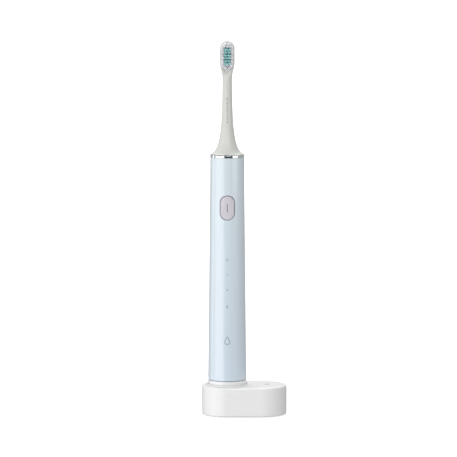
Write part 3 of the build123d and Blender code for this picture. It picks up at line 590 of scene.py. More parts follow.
def pill(
    name: str,
    radius: float,
    spacing: float,
    low: float,
    high: float,
    centre: Point,
    facing: Facing,
    segments: int = 64,
) -> bpy.types.Object:
    """A block with round ends: a cylinder whose two halves are moved apart.

    Args:
        name: The piece's name.
        radius: Radius of its ends.
        spacing: Distance between the ends' axes, along X when it faces up and along Z when it faces front.
        low: Where it starts along Z when it faces up, or along Y when it faces front.
        high: Where it ends.
        centre: X and Y of its middle when it faces up, X and Z when it faces front.
        facing: Which way its flat face looks.
        segments: Sides of its two ends together.

    Returns:
        The block, its place in its mesh.
    """
    clear_selection()
    half = math.pi / segments
    middle = (low + high) / 2
    if facing is Facing.UP:
        place, turned, along = (centre[0], centre[1], middle), (0, 0, half), 0
    else:
        place, turned, along = (centre[0], middle, centre[1]), (math.pi / 2, half, 0), 2
    bpy.ops.mesh.primitive_cylinder_add(
        vertices=segments,
        radius=radius * MM,
        depth=(high - low) * MM,
        location=[value * MM for value in place],
        rotation=turned,
    )
    obj = take(name)
    bpy.ops.object.transform_apply(location=True, rotation=True, scale=True)
    if spacing > 0:
        with editing(obj):
            for side in (-1, 1):
                move = [0.0, 0.0, 0.0]
                move[along] = side * spacing * MM / 2
                choose(obj, "VERT", lambda c, s=side: s * (c[0][along] - place[along]) > 0)
                bpy.ops.transform.translate(value=move)
    return obj


def join(parts: Sequence[bpy.types.Object], name: str) -> bpy.types.Object:
    """Joins meshes into one object.

    Args:
        parts: The objects, which become one.
        name: The name of the result.

    Returns:
        The joined object.
    """
    clear_selection()
    for part in parts:
        part.select_set(True)
    bpy.context.view_layer.objects.active = parts[0]
    if len(parts) > 1:
        bpy.ops.object.join()
    return take(name)


def combine(target: bpy.types.Object, tool: bpy.types.Object, operation: str = "DIFFERENCE") -> None:
    """Cuts a tool out of a piece, or adds it, and removes the tool.

    Args:
        target: The piece.
        tool: The closed mesh to cut with or to add.
        operation: DIFFERENCE or UNION.
    """
    for obj in (target, tool):
        with editing(obj):
            bpy.ops.mesh.select_all(action="SELECT")
            bpy.ops.mesh.normals_make_consistent(inside=False)
    modifier = target.modifiers.new("combine", "BOOLEAN")
    modifier.operation = operation
    modifier.solver = "EXACT"
    modifier.object = tool
    pick_only(target)
    bpy.ops.object.modifier_apply(modifier=modifier.name)
    bpy.data.objects.remove(tool)


def handle_radius(height: float) -> float:
    """Radius of the handle's tapered skin at a height, both in millimetres."""
    share = (height - HOUSING_Z) / (HOUSING_TOP - HOUSING_Z)
    return HANDLE_BASE_RADIUS + share * (HANDLE_TOP_RADIUS - HANDLE_BASE_RADIUS)


def wrap(obj: bpy.types.Object, radius_at: Callable[[float], float]) -> None:
    """Lays a piece modelled flat about y = 0 on to a round skin at the front.

    Args:
        obj: The flat piece, whose depth is along Y and whose front is at negative Y.
        radius_at: The skin's radius at a height.
    """
    for vert in obj.data.vertices:
        across = vert.co.x / MM - DOCK_X
        radius = radius_at(vert.co.z / MM)
        vert.co.y -= math.sqrt(max(radius**2 - across**2, 0.0)) * MM


def smooth_step(value: float, low: float, high: float) -> float:
    """Goes from 0 to 1 as value goes from low to high, levelling off at both ends."""
    share = min(max((value - low) / (high - low), 0.0), 1.0)
    return share * share * (3 - 2 * share)


@dataclass(frozen=True)
class Piece:
    """A finished mesh with what it needs to be part of the object."""

    obj: bpy.types.Object
    finish: Finish
    body: str
    slot: str
    nodes: tuple[str, ...] = ()


@dataclass
class Assembly:
    """A group of pieces that are built and then dressed together."""

    made: list[Piece] = field(default_factory=list)

    def keep(self, obj: bpy.types.Object, finish: Finish, body: str, slot: str, *nodes: str) -> None:
        """Notes a finished piece, its body and the CAD nodes that it stands for."""
        self.made.append(Piece(obj, finish, body, slot, nodes))

    def dress(self) -> None:
        """Gives each piece its material and its body, and hides the CAD nodes that it replaces."""
        for piece in self.made:
            piece.obj.data.materials.clear()
            piece.obj.data.materials.append(piece.finish.make())
            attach(piece.obj, piece.body)
            if piece.nodes:
                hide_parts(*piece.nodes)
            LOG.info("%s: %s faces, %s", piece.obj.name, len(piece.obj.data.polygons), piece.finish.name)


@dataclass
class ChargingBase(Assembly):
    """The pill-shaped puck with its collar and charging post."""

    end_radius: float = 18.8
    end_spacing: float = 24.8
    foot: float = 0.6
    top: float = 21.9
    ceiling: float = 19.3
    wall: float = 2.2
    top_edge: float = 1.3
    foot_edge: float = 0.7
    seam_height: float = 19.5
    seam_depth: float = 0.1
    collar_radius: float = 15.5
    collar_inner: float = 14.3
    collar_top: float = 23.1
    collar_edge: float = 0.4
    post_radius: float = 5.0
    post_top: float = 31.9
    post_bore: float = 3.9
    post_roof: float = 1.1
    post_edge: float = 0.8
    lens_x: float = 16.9
    lens_radius: float = 2.55
    lens_stem: float = 1.25
    lens_depth: float = 0.8
    gland_height: float = 8.6
    gland_radius: float = 3.25
    boss_radius: float = 2.6
    boss_bore: float = 1.12
    boss_foot: float = 3.4
    boss_depth: float = 8.0
    boss_offset: float = 8.485
    dash_radius: float = 0.3
    dash_spacing: float = 1.6
    dash_proud: float = 0.03

    def shell(self) -> bpy.types.Object:
        """Models the housing: a hollowed pill with its recess, post, lens hole and gland hole.

        Returns:
            The finished housing.
        """
        origin = (0.0, 0.0)
        obj = pill(
            "base_shell", self.end_radius, self.end_spacing, self.foot, self.top, origin, Facing.UP, 128
        )
        with editing(obj):
            # Hollow it from below.
            choose(obj, "FACE", lambda c: all(v.z < self.foot + 0.01 for v in c))
            bpy.ops.mesh.inset(thickness=self.wall * MM)
            up = (0, 0, (self.ceiling - self.foot) * MM)
            bpy.ops.mesh.extrude_region_move(TRANSFORM_OT_translate={"value": up})

            def outer_edge(corners: Sequence[Vector], height: float) -> bool:
                """Whether an edge runs round the outside at a height."""
                skin = self.end_radius - 0.05
                return all(
                    abs(v.z - height) < 0.01
                    and math.hypot(max(abs(v.x) - self.end_spacing / 2, 0), v.y) > skin
                    for v in corners
                )

            choose(obj, "EDGE", lambda c: outer_edge(c, self.top))
            bpy.ops.mesh.bevel(offset=self.top_edge * MM, segments=7, affect="EDGES")
            choose(obj, "EDGE", lambda c: outer_edge(c, self.foot))
            bpy.ops.mesh.bevel(offset=self.foot_edge * MM, segments=4, affect="EDGES")
            self.score_seam()
        collar_fit = self.collar_radius + 0.05
        dock = (DOCK_X, 0.0)
        combine(obj, pill("tool", collar_fit, 0, SEAT_Z, self.top + 1, dock, Facing.UP, 96))
        tip = (self.post_radius, self.post_top)
        post = turn("tool", [(self.post_radius, self.ceiling + 0.8), tip], Close.CAPPED, 64)
        round_rings(post, [tip], self.post_edge)
        combine(obj, post, "UNION")
        bore_top = self.post_top - self.post_roof
        combine(obj, pill("tool", self.post_bore, 0, self.ceiling - 0.5, bore_top, dock, Facing.UP, 48))
        combine(obj, self.bosses(), "UNION")
        lens = (self.lens_x, 0.0)
        seat = self.top - self.lens_depth
        combine(obj, pill("tool", self.lens_radius, 0, seat, self.top + 1, lens, Facing.UP, 48))
        combine(obj, pill("tool", self.lens_stem, 0, self.ceiling - 1, self.top, lens, Facing.UP, 32))
        rear = (0.0, self.gland_height)
        start = self.end_radius - self.wall - 0.5
        combine(obj, pill("tool", self.gland_radius, 0, start, self.end_radius + 1, rear, Facing.FRONT, 48))
        return settle(obj)

    def score_seam(self) -> None:
        """Scores the faint line round the outside that the two halves of the tool leave, in edit mode."""
        obj = bpy.context.edit_object
        for offset in (-self.seam_depth, 0.0, self.seam_depth):
            height = self.seam_height + offset
            bpy.ops.mesh.select_all(action="SELECT")
            bpy.ops.mesh.bisect(plane_co=(0, 0, height * MM), plane_no=(0, 0, 1))
        choose(obj, "VERT", lambda c: abs(c[0].z - self.seam_height) < 0.01)
        half_length = self.end_radius + self.end_spacing / 2
        narrow = (1 - self.seam_depth / half_length, 1 - self.seam_depth / self.end_radius, 1)
        bpy.ops.transform.resize(value=narrow, center_override=(0, 0, self.seam_height * MM))

    def bosses(self) -> bpy.types.Object:
        """Models the four screw bosses under the roof.

        Returns:
            The bosses as one mesh.
        """
        along = self.end_spacing / 2 + self.boss_offset
        spots = [(x * along, y * self.boss_offset) for x in (-1, 1) for y in (-1, 1)]
        made = []
        for spot in spots:
            boss = pill("boss", self.boss_radius, 0, self.boss_foot, self.ceiling + 0.4, spot, Facing.UP, 32)
            with editing(boss):
                choose(boss, "FACE", lambda c: all(v.z < self.boss_foot + 0.01 for v in c))
                bpy.ops.mesh.inset(thickness=(self.boss_radius - self.boss_bore) * MM)
                up = (0, 0, self.boss_depth * MM)
                bpy.ops.mesh.extrude_region_move(TRANSFORM_OT_translate={"value": up})
            made.append(boss)
        return join(made, "bosses")

    def collar(self) -> bpy.types.Object:
        """Models the raised collar round the seat.

        Returns:
            The finished collar.
        """
        profile = [
            (self.collar_inner, SEAT_Z),
            (self.collar_radius, SEAT_Z),
            (self.collar_radius, self.collar_top),
            (self.collar_inner, self.collar_top),
        ]
        obj = turn("seat_collar", profile, Close.RING, 128)
        top = [(self.collar_radius, self.collar_top), (self.collar_inner, self.collar_top)]
        round_rings(obj, top, self.collar_edge, 5)
        return settle(obj)

    def lens_dash(self) -> bpy.types.Object:
        """Models the short printed dash on the status lens.

        Returns:
            The finished dash.
        """
        low, high = self.top - 0.1, self.top + self.dash_proud
        place = (self.lens_x, 0)
        obj = pill("lens_dash", self.dash_radius, self.dash_spacing, low, high, place, Facing.UP, 24)
        with editing(obj):
            choose(obj, "EDGE", lambda c: all(v.z > self.top for v in c))
            bpy.ops.mesh.bevel(offset=0.02 * MM, segments=2, affect="EDGES")
        return settle(obj)

    def build(self) -> None:
        """Models every piece of the base."""
        self.keep(self.shell(), BASE_SHELL, "charger", "base_white", "base_housing")
        self.keep(self.collar(), COLLAR, "charger", "collar_white", "seat_ring")
        self.keep(self.lens_dash(), MARK_INK, "charger", "mark_grey")


@dataclass
class Handle(Assembly):
    """The tapered tube with its cap, trim ring, seal and marks."""

    wall: float = 1.8
    edge: float = 0.3
    cavity_top: float = 187.3
    ring_seat: float = 11.21
    ring_radius: float = 12.45
    ring_top: float = 191.2
    ring_edge: float = 0.25
    seal_radius: float = 4.0
    seal_tip: float = 3.0
    seal_bore: float = 2.03
    cap_top: float = 25.6
    cap_edge: float = 0.8
    button_z: float = 153.2
    button_reach: float = 5.45
    button_spacing: float = 7.3
    mode_heights: tuple[float, ...] = (93.4, 104.6, 115.5)
    mode_radius: float = 0.9
    window_back: float = -9.3
    window_bevel: float = 0.1
    mark_proud: float = 0.03
    mark_depth: float = 0.12
    bar_offset: float = 0.62
    bar_stretch: tuple[float, float, float] = (1.9, 1, 0.62)
    cut_front: float = -16.0
    cut_back: float = -7.0
    opening_edge: float = 0.12
    battery_height: float = 81.0
    battery_window: Point = (1.5, 3.0)
    drop_z: float = 55.1
    drop_radius: float = 2.1
    drop_line: float = 0.45
    drop_depth: float = 0.25

    def shell(self) -> bpy.types.Object:
        """Models the tube, its roof and the openings at its front.

        Returns:
            The finished housing.
        """
        top = HOUSING_TOP
        heights = [HOUSING_Z + (top - HOUSING_Z) * n / 12 for n in range(13)]
        inner = [(handle_radius(h) - self.wall, h) for h in (HOUSING_Z, self.cavity_top)]
        fit = 0.05
        profile = [
            *((handle_radius(h), h) for h in heights),
            (self.ring_seat, top),
            (self.ring_seat, self.ring_top - fit),
            (self.seal_radius + fit, self.ring_top - fit),
            (self.seal_radius + fit, self.cavity_top),
            inner[1],
            inner[0],
        ]
        obj = turn("handle_shell", profile, Close.RING, 160)
        round_rings(obj, [(handle_radius(HOUSING_Z), HOUSING_Z)], self.edge)
        middle = (DOCK_X, self.button_z)
        front, back = self.cut_front, self.cut_back
        cutter = pill("tool", self.button_reach, self.button_spacing, front, back, middle, Facing.FRONT, 72)
        combine(obj, cutter)
        holes = [
            pill("tool", self.mode_radius + 0.02, 0, front, back, (DOCK_X, h), Facing.FRONT, 32)
            for h in self.mode_heights
        ]
        width, length = self.battery_window
        end = width / 2 + 0.02
        holes.append(
            pill("tool", end, length - width, front, back, (DOCK_X, self.battery_height), Facing.FRONT, 32)
        )
        combine(obj, join(holes, "tool"))
        combine(obj, self.drop("tool", self.drop_depth, 1.0))
        with editing(obj):
            rim = self.button_reach + 0.1

            def opening(corners: Sequence[Vector]) -> bool:
                """Whether an edge runs round the front of the button's opening."""
                return all(
                    math.hypot(v.x - DOCK_X, max(abs(v.z - self.button_z) - self.button_spacing / 2, 0)) < rim
                    and v.y < 0
                    and abs(math.hypot(v.x - DOCK_X, v.y) - handle_radius(v.z)) < 0.03
                    for v in corners
                )

            choose(obj, "EDGE", opening)
            bpy.ops.mesh.bevel(offset=self.opening_edge * MM, segments=2, affect="EDGES")
        return settle(obj, 30)

    def drop(self, name: str, depth: float, proud: float) -> bpy.types.Object:
        """Models the water-drop outline: a circle drawn up to a point, as a thin closed line.

        Args:
            name: The piece's name.
            depth: How far it goes into the skin.
            proud: How far it stands out of the skin.

        Returns:
            The outline, wrapped on the handle.
        """
        clear_selection()
        bpy.ops.mesh.primitive_circle_add(
            vertices=72,
            radius=self.drop_radius * MM,
            location=(DOCK_X * MM, -proud * MM, self.drop_z * MM),
            rotation=(math.pi / 2, 0, 0),
        )
        obj = take(name)
        bpy.ops.object.transform_apply(location=True, rotation=True, scale=True)
        tangent = self.drop_radius * math.sin(math.radians(30)) + 0.02
        with editing(obj):
            choose(obj, "VERT", lambda c: c[0].z - self.drop_z > tangent)
            bpy.ops.mesh.merge(type="CENTER")
            mesh = bmesh.from_edit_mesh(obj.data)
            tip = next(vert for vert in mesh.verts if vert.select)
            rise = (self.drop_z + 2 * self.drop_radius) * MM - tip.co.z
            bpy.ops.transform.translate(value=(0, 0, rise))
            bpy.ops.mesh.select_all(action="SELECT")
            bpy.ops.mesh.edge_face_add()
            bpy.ops.mesh.select_mode(type="FACE")
            bpy.ops.mesh.inset(thickness=self.drop_line * MM)
            bpy.ops.mesh.delete(type="ONLY_FACE")
            bpy.ops.mesh.select_all(action="SELECT")
            back = (0, (depth + proud) * MM, 0)
            bpy.ops.mesh.extrude_region_move(TRANSFORM_OT_translate={"value": back})
            bpy.ops.mesh.select_all(action="SELECT")
            bpy.ops.mesh.normals_make_consistent(inside=False)
        wrap(obj, handle_radius)
        return obj

    def flat_ring(self, name: str, radius: float, line: float, height: float, sides: int) -> bpy.types.Object:
        """Models one outline mark: a ring or a polygon with a hole, wrapped on the handle.

        Args:
            name: The mark's name.
            radius: Its outer radius.
            line: The width of its line.
            height: Where its middle is.
            sides: Its sides; many make a circle.

        Returns:
            The mark.
        """
        place = (DOCK_X, height)
        obj = pill(name, radius, 0, -self.mark_proud, self.mark_depth, place, Facing.FRONT, sides)
        with editing(obj):
            choose(obj, "FACE", lambda c: len(c) == sides)
            bpy.ops.mesh.inset(thickness=line * MM)
            bpy.ops.mesh.bridge_edge_loops()
        wrap(obj, handle_radius)
        return obj

    def marks(self) -> bpy.types.Object:
        """Models the small symbols printed on the mode windows.

        Returns:
            The symbols as one piece.
        """
        low, middle, high = self.mode_heights
        back, front = self.mark_depth, -self.mark_proud
        dot = pill("dot", 0.42, 0, front, back, (DOCK_X, middle), Facing.FRONT, 16)
        core = pill("dot", 0.22, 0, front, back, (DOCK_X, high), Facing.FRONT, 12)
        bars = []
        for side in (-1, 1):
            height = self.battery_height + side * self.bar_offset
            bar = pill("bar", 0.28, 0.6, front, back, (DOCK_X, height), Facing.FRONT, 12)
            with editing(bar):
                bpy.ops.mesh.select_all(action="SELECT")
                centre = (DOCK_X * MM, 0, height * MM)
                bpy.ops.transform.resize(value=self.bar_stretch, center_override=centre)
            bars.append(bar)
        flat = [dot, core, *bars]
        for obj in flat:
            wrap(obj, handle_radius)
        rings = [
            self.flat_ring("ring", 0.78, 0.2, high, 24),
            self.flat_ring("ring", 0.72, 0.26, low, 6),
        ]
        return settle(join([*flat, *rings], "mode_symbols"))

    def windows(self) -> bpy.types.Object:
        """Models the mode windows: short pins that end flush with the skin.

        Returns:
            The windows as one piece.
        """
        # The pins start out longer than the wall, and their front ends are then laid on the skin.
        front, back = self.cut_front + 0.5, self.window_back
        width, length = self.battery_window
        sizes = [(self.mode_radius, 0, h) for h in self.mode_heights]
        sizes.append((width / 2, length - width, self.battery_height))
        pins = [
            pill("pin", radius, spacing, front, back, (DOCK_X, h), Facing.FRONT, 32)
            for radius, spacing, h in sizes
        ]
        obj = join(pins, "mode_pins")
        with editing(obj):
            choose(obj, "FACE", lambda c: all(v.y < front + 0.1 for v in c))
            bpy.ops.mesh.inset(thickness=self.window_bevel * MM, use_individual=True)
        for vert in obj.data.vertices:
            if vert.co.y < -12 * MM:
                across = vert.co.x / MM - DOCK_X
                radius = handle_radius(vert.co.z / MM)
                vert.co.y = -math.sqrt(radius**2 - across**2) * MM
        return settle(obj)

    def cap(self) -> bpy.types.Object:
        """Models the bottom cap: foot, spigot with its O-ring groove, and the charging socket.

        Returns:
            The finished cap.
        """
        socket, wall, socket_top = 5.3, 1.2, 32.5
        spigot, inner = 12.02, 10.22
        spigot_top, floor = 33.6, 22.9
        groove_low, groove_high, groove_radius = 28.19, 29.61, 10.75
        profile = [
            (socket, socket_top),
            (socket, SEAT_Z),
            (HANDLE_BASE_RADIUS, SEAT_Z),
            (HANDLE_BASE_RADIUS, self.cap_top),
            (spigot, self.cap_top),
            (spigot, groove_low),
            (groove_radius, groove_low),
            (groove_radius, groove_high),
            (spigot, groove_high),
            (spigot, spigot_top),
            (inner, spigot_top),
            (inner, floor),
            (socket + wall, floor),
            (socket + wall, socket_top + wall),
        ]
        obj = turn("bottom_cap_shell", profile, Close.CAPPED, 128)
        round_rings(obj, [(HANDLE_BASE_RADIUS, SEAT_Z)], self.cap_edge, 5)
        round_rings(obj, [(HANDLE_BASE_RADIUS, self.cap_top)], 0.15, 3)
        return settle(obj)

    def ring(self) -> bpy.types.Object:
        """Models the plated trim ring.

        Returns:
            The finished ring.
        """
        inner, low = self.ring_seat + 0.05, HOUSING_TOP + 0.05
        profile = [
            (inner, low),
            (self.ring_radius, low),
            (self.ring_radius, self.ring_top),
            (inner, self.ring_top),
        ]
        obj = turn("trim_band", profile, Close.RING, 160)
        round_rings(obj, [(self.ring_radius, low), (self.ring_radius, self.ring_top)], self.ring_edge, 3)
        return settle(obj)

    def seal(self) -> bpy.types.Object:
        """Models the rubber seal round the shaft, with a lip and two ribs.

        Returns:
            The finished seal.
        """
        top = self.ring_top
        profile = [
            (self.seal_bore, self.cavity_top),
            (self.seal_radius, self.cavity_top),
            (self.seal_radius, top),
            (self.seal_radius - 0.3, top + 0.9),
            (self.seal_radius - 0.55, top + 1.0),
            (self.seal_tip + 0.3, top + 1.9),
            (self.seal_tip, top + 2.1),
            (self.seal_tip, top + 3.0),
            (self.seal_bore, top + 3.0),
        ]
        obj = turn("shaft_boot", profile, Close.RING, 64)
        round_rings(obj, [(self.seal_tip, top + 3.0)], 0.25, 3)
        return settle(obj)

    def build(self) -> None:
        """Models every visible piece of the handle."""
        self.keep(self.shell(), HANDLE_LACQUER, "handle", "handle_blue", "handle_housing")
        mark = settle(self.drop("drop_outline", self.drop_depth - 0.01, 0.0))
        self.keep(mark, MARK_INK, "handle", "mark_grey", "drop_mark")
        self.keep(self.windows(), WINDOW, "handle", "window_grey", "mode_windows")
        self.keep(self.marks(), MARK_INK, "handle", "mark_grey")
        self.keep(self.cap(), CAP_SHELL, "handle", "cap_white", "bottom_cap")
        self.keep(self.ring(), TRIM, "handle", "trim_metal", "trim_ring")
        self.keep(self.seal(), RUBBER, "handle", "rubber_dark", "shaft_seal")


@dataclass
class PowerButton(Assembly):
    """The pill-shaped button with its rim, groove and light bar."""

    height: float = 153.2
    radius: float = 5.0
    spacing: float = 7.3
    proud: float = 0.5
    back: float = -11.3
    stem_radius: float = 1.5
    stem_tip: float = -10.25
    bar_radius: float = 0.3
    bar_spacing: float = 5.5
    bar_depth: float = 0.8
    rim_drop: float = 0.22
    # Width and depth of each inset of the face, from the rim inwards: a rounded shoulder, a flat
    # border, a groove, and a face that is dished a little further with each step.
    face_steps: tuple[Point, ...] = (
        (0.12, -0.06),
        (0.12, -0.03),
        (0.85, 0.0),
        (0.12, -0.14),
        (0.16, 0.0),
        (0.12, 0.12),
        (0.7, -0.01),
        (0.9, -0.03),
        (1.0, -0.03),
        (0.7, -0.01),
    )

    def skin(self, height: float) -> float:
        """Radius of the button's face at a height, both in millimetres."""
        return handle_radius(height) + self.proud

    def body(self) -> bpy.types.Object:
        """Models the button: rounded rim, shallow groove inside it, faintly dished face.

        Returns:
            The finished button.
        """
        thickness = self.skin(self.height) + self.back
        place = (DOCK_X, self.height)
        obj = pill("button_cap", self.radius, self.spacing, 0.0, thickness, place, Facing.FRONT, 72)
        with editing(obj):
            choose(obj, "FACE", lambda c: all(abs(v.y) < 0.001 for v in c))
            for width, depth in self.face_steps:
                bpy.ops.mesh.inset(thickness=width * MM, depth=depth * MM)
            bpy.ops.mesh.select_all(action="DESELECT")
            # The insets start from the rim, so the rim's own edge is let back to round it.
            choose(obj, "EDGE", self.on_rim)
            bpy.ops.transform.translate(value=(0, self.rim_drop * MM, 0))
        self.bend(obj)
        fit = 0.02
        radius, depth = self.bar_radius + fit, self.bar_depth + fit
        slot = pill("tool", radius, self.bar_spacing, -1.0, depth, place, Facing.FRONT, 24)
        self.bend(slot)
        combine(obj, slot)
        stem = pill("tool", self.stem_radius, 0, self.back - 0.5, self.stem_tip, place, Facing.FRONT, 32)
        combine(obj, stem, "UNION")
        return settle(obj, 28)

    def on_rim(self, corners: Sequence[Vector]) -> bool:
        """Whether an edge of the flat button runs round its front rim."""
        rim = self.radius - 0.05
        return all(
            abs(v.y) < 0.001
            and math.hypot(v.x - DOCK_X, max(abs(v.z - self.height) - self.spacing / 2, 0)) > rim
            for v in corners
        )

    def bend(self, obj: bpy.types.Object) -> None:
        """Lays a flat piece on the button's face, and leaves its back flat."""
        flat_from = self.skin(self.height) + self.back
        for vert in obj.data.vertices:
            if vert.co.y / MM > flat_from - 0.001:
                vert.co.y = self.back * MM
                continue
            across = vert.co.x / MM - DOCK_X
            radius = self.skin(vert.co.z / MM)
            vert.co.y -= math.sqrt(radius**2 - across**2) * MM

    def bar(self) -> bpy.types.Object:
        """Models the narrow light bar let into the button.

        Returns:
            The finished bar.
        """
        place = (DOCK_X, self.height)
        radius, sunk, depth = self.bar_radius, 0.02, self.bar_depth
        obj = pill("button_slit", radius, self.bar_spacing, sunk, depth, place, Facing.FRONT, 24)
        with editing(obj):
            choose(obj, "FACE", lambda c: all(v.y < sunk + 0.01 for v in c))
            bpy.ops.mesh.inset(thickness=0.08 * MM, depth=-0.04 * MM)
        wrap(obj, self.skin)
        return settle(obj)

    def build(self) -> None:
        """Models both pieces of the button."""
        self.keep(self.body(), BUTTON_SKIN, "button", "button_lilac", "power_button")
        self.keep(self.bar(), LIGHT_BAR, "button", "light_bar", "button_light_bar")


@dataclass
class BrushHead(Assembly):
    """The flared skirt, the neck, the oval head and its bristles.

    Tuft cells are a tuft's distance from the middle of its group of four, to the side and up. The
    tufts beyond the groups are given as distance to the side, and height past upper_z or below
    lower_z. Splay is how far a filament leans per millimetre from the tuft's middle, to the side and
    up. Trim is the least and the most that a filament's length varies by, as a share of it.
    """

    rim_z: float = 191.5
    skirt_radius: float = 12.35
    skirt_wall: float = 1.0
    skirt_edge: float = 0.25
    # Radius and height of the Bezier points between the skirt's rim and the top of the neck.
    flare: tuple[Point, Point] = ((4.56, 194.15), (3.56, 213.06))
    neck_radius: float = 3.36
    neck_top: float = 250.4
    lower_z: float = 256.9
    upper_z: float = 268.5
    head_radius: float = 5.3
    head_front: float = 2.3
    head_back: float = 2.7
    shoulder_z: float = 246.0
    widening: Point = (246.5, 258.5)
    tip_z: float = 273.9
    front_fall: float = 0.5
    back_fall: float = 1.9
    bore: float = 3.35
    bore_foot: float = 199.0
    bore_top: float = 211.05
    plate_radius: float = 4.4
    plate_thickness: float = 1.4
    tuft_radius: float = 0.75
    tuft_root: float = 0.8
    tuft_length: float = 9.5
    group_pitch: float = 4.2
    group_shift: float = 0.35
    teal_cell: Point = (1.2, 0.95)
    side_cell: Point = (3.3, 0.9)
    upper_tufts: tuple[Point, ...] = ((0.0, 2.05), (2.2, 2.05), (1.05, 3.35))
    lower_tufts: tuple[Point, ...] = ((0.0, 0.15), (2.4, 0.5), (1.25, 1.9), (0.0, 3.4))
    filament_radius: float = 0.103
    filament_pitch: float = 0.14
    teal_splay: Point = (0.075, 0.02)
    white_splay: Point = (0.03, 0.05)
    unruly: float = 0.012
    trim: Point = (-0.02, 0.012)
    tip_sharp: float = 37.0
    seed: int = 11
    print_z: float = 214.6
    print_width: float = 1.0
    print_gap: float = 0.85
    print_lengths: tuple[float, ...] = (1.1, 0.6, 1.1, 0.6, 0.6, 1.1, 1.1, 0.6, 1.1, 0.6, 1.1)

    @property
    def middle_z(self) -> float:
        """Height of the middle of the head."""
        return (self.lower_z + self.upper_z) / 2

    def half_width(self, height: float) -> float:
        """Half the head's width at a height, both in millimetres."""
        if height > self.upper_z:
            return math.sqrt(max(self.head_radius**2 - (height - self.upper_z) ** 2, 0.0))
        share = smooth_step(height, *self.widening)
        narrow = self.neck_radius - 0.02
        return narrow + share * (self.head_radius - narrow)

    def section(self, height: float, angle: float) -> Point:
        """One point of the head's outline at a height.

        Args:
            height: The outline's height.
            angle: Where the point is, in radians from +X.

        Returns:
            Its distance to the side of the axis and behind it.
        """
        width = self.half_width(height)
        flat = smooth_step(height, self.shoulder_z, self.shoulder_z + 10)
        crown = smooth_step(height, self.upper_z, self.tip_z)
        front = self.neck_radius + flat * (self.head_front - self.neck_radius)
        back = self.neck_radius + flat * (self.head_back - self.neck_radius)
        front -= self.front_fall * crown
        back -= self.back_fall * crown
        across, behind = math.cos(angle), math.sin(angle)
        # A power of 2 is an ellipse. The front is squarer than the back, less so towards the tip.
        squareness = 4.5 - 1.5 * crown if behind < 0 else 0.8
        power = 2 + flat * squareness
        reach = (abs(across) ** power + abs(behind) ** power) ** (-1 / power)
        return width * reach * across, (front if behind < 0 else back) * reach * behind

    def neck_curve(self, count: int) -> list[Point]:
        """Points on the outside from the skirt's rim to the top of the neck, as radius and height."""
        rim, top = (self.skirt_radius, self.rim_z), (self.neck_radius, self.neck_top)
        return bezier([rim, *self.flare, top], count)

    def body(self) -> bpy.types.Object:
        """Models the brush body from its bore to the top of its head.

        Returns:
            The finished body.
        """
        rims = [(self.skirt_radius, self.rim_z), (self.skirt_radius - self.skirt_wall, self.rim_z)]
        hollow = [rims[1], (7.15, 192.8), (4.9, self.bore_foot)]
        neck = [point for point in self.neck_curve(40) if point[1] < self.shoulder_z - 0.5]
        shoulder = [self.shoulder_z + 0.5 + n for n in range(22)]
        crown = [self.upper_z + self.head_radius * math.sin(math.radians(a)) for a in range(6, 88, 6)]
        profile = [
            (self.bore, self.bore_top),
            (self.bore, self.bore_foot),
            *reversed(bezier(hollow, 12)),
            *neck,
            *((self.neck_radius, z) for z in [*shoulder, *crown]),
        ]
        obj = turn("brush_shell", profile, Close.CAPPED, 96)
        for vert in obj.data.vertices:
            height = vert.co.z / MM
            if height > self.shoulder_z:
                angle = math.atan2(vert.co.y, vert.co.x - DOCK_X * MM)
                across, behind = self.section(height, angle)
                vert.co.x = (DOCK_X + across) * MM
                vert.co.y = behind * MM
        round_rings(obj, rims, self.skirt_edge, 3)
        spacing = self.upper_z - self.lower_z
        recess = pill(
            "tool",
            self.plate_radius + 0.05,
            spacing,
            -self.head_front - 2,
            -self.head_front + self.plate_thickness + 0.05,
            (DOCK_X, self.middle_z),
            Facing.FRONT,
            72,
        )
        combine(obj, recess)
        return settle(obj, 40)

    def tuft_spots(self) -> tuple[list[Point], list[Point]]:
        """Works out where the tufts stand.

        Returns:
            Distance to the side and height of the teal tufts, and of the white ones.
        """
        groups = [self.middle_z + self.group_shift + n * self.group_pitch for n in (-1, 0, 1)]
        quarters = [(side, row) for row in (-1, 1) for side in (-1, 1)]
        teal, white = (
            [(side * across, z + row * up) for z in groups for side, row in quarters]
            for across, up in (self.teal_cell, self.side_cell)
        )
        for across, beyond in self.upper_tufts:
            white += [(x, self.upper_z + beyond) for x in sorted({-across, across})]
        for across, beyond in self.lower_tufts:
            white += [(x, self.lower_z - beyond) for x in sorted({-across, across})]
        return teal, white

    def plate(self) -> bpy.types.Object:
        """Models the plate that holds the tufts, with a hole for each.

        Returns:
            The finished plate.
        """
        spacing = self.upper_z - self.lower_z
        front, back = -self.head_front, -self.head_front + self.plate_thickness
        place = (DOCK_X, self.middle_z)
        obj = pill("tuft_bed", self.plate_radius, spacing, front, back, place, Facing.FRONT, 72)
        with editing(obj):
            choose(obj, "EDGE", lambda c: all(v.y < front + 0.01 for v in c))
            bpy.ops.mesh.bevel(offset=0.2 * MM, segments=3, affect="EDGES")
        teal, white = self.tuft_spots()
        radius, bottom = self.tuft_radius + 0.02, front + self.tuft_root
        holes = [
            pill("hole", radius, 0, front - 1, bottom, (DOCK_X + x, z), Facing.FRONT, 20)
            for x, z in teal + white
        ]
        combine(obj, join(holes, "tool"))
        return settle(obj)

    def tuft(self, filament: bpy.types.Object, splay: Point, draw: random.Random) -> bpy.types.Object:
        """Packs copies of one filament into a slightly splayed tuft that faces -Y from the origin.

        Args:
            filament: The filament to copy, its root at the origin.
            splay: How far the filaments lean out to the sides and up or down, per millimetre.
            draw: The source of its small irregularities.

        Returns:
            The tuft.
        """
        pitch = self.filament_pitch
        room = self.tuft_radius - self.filament_radius
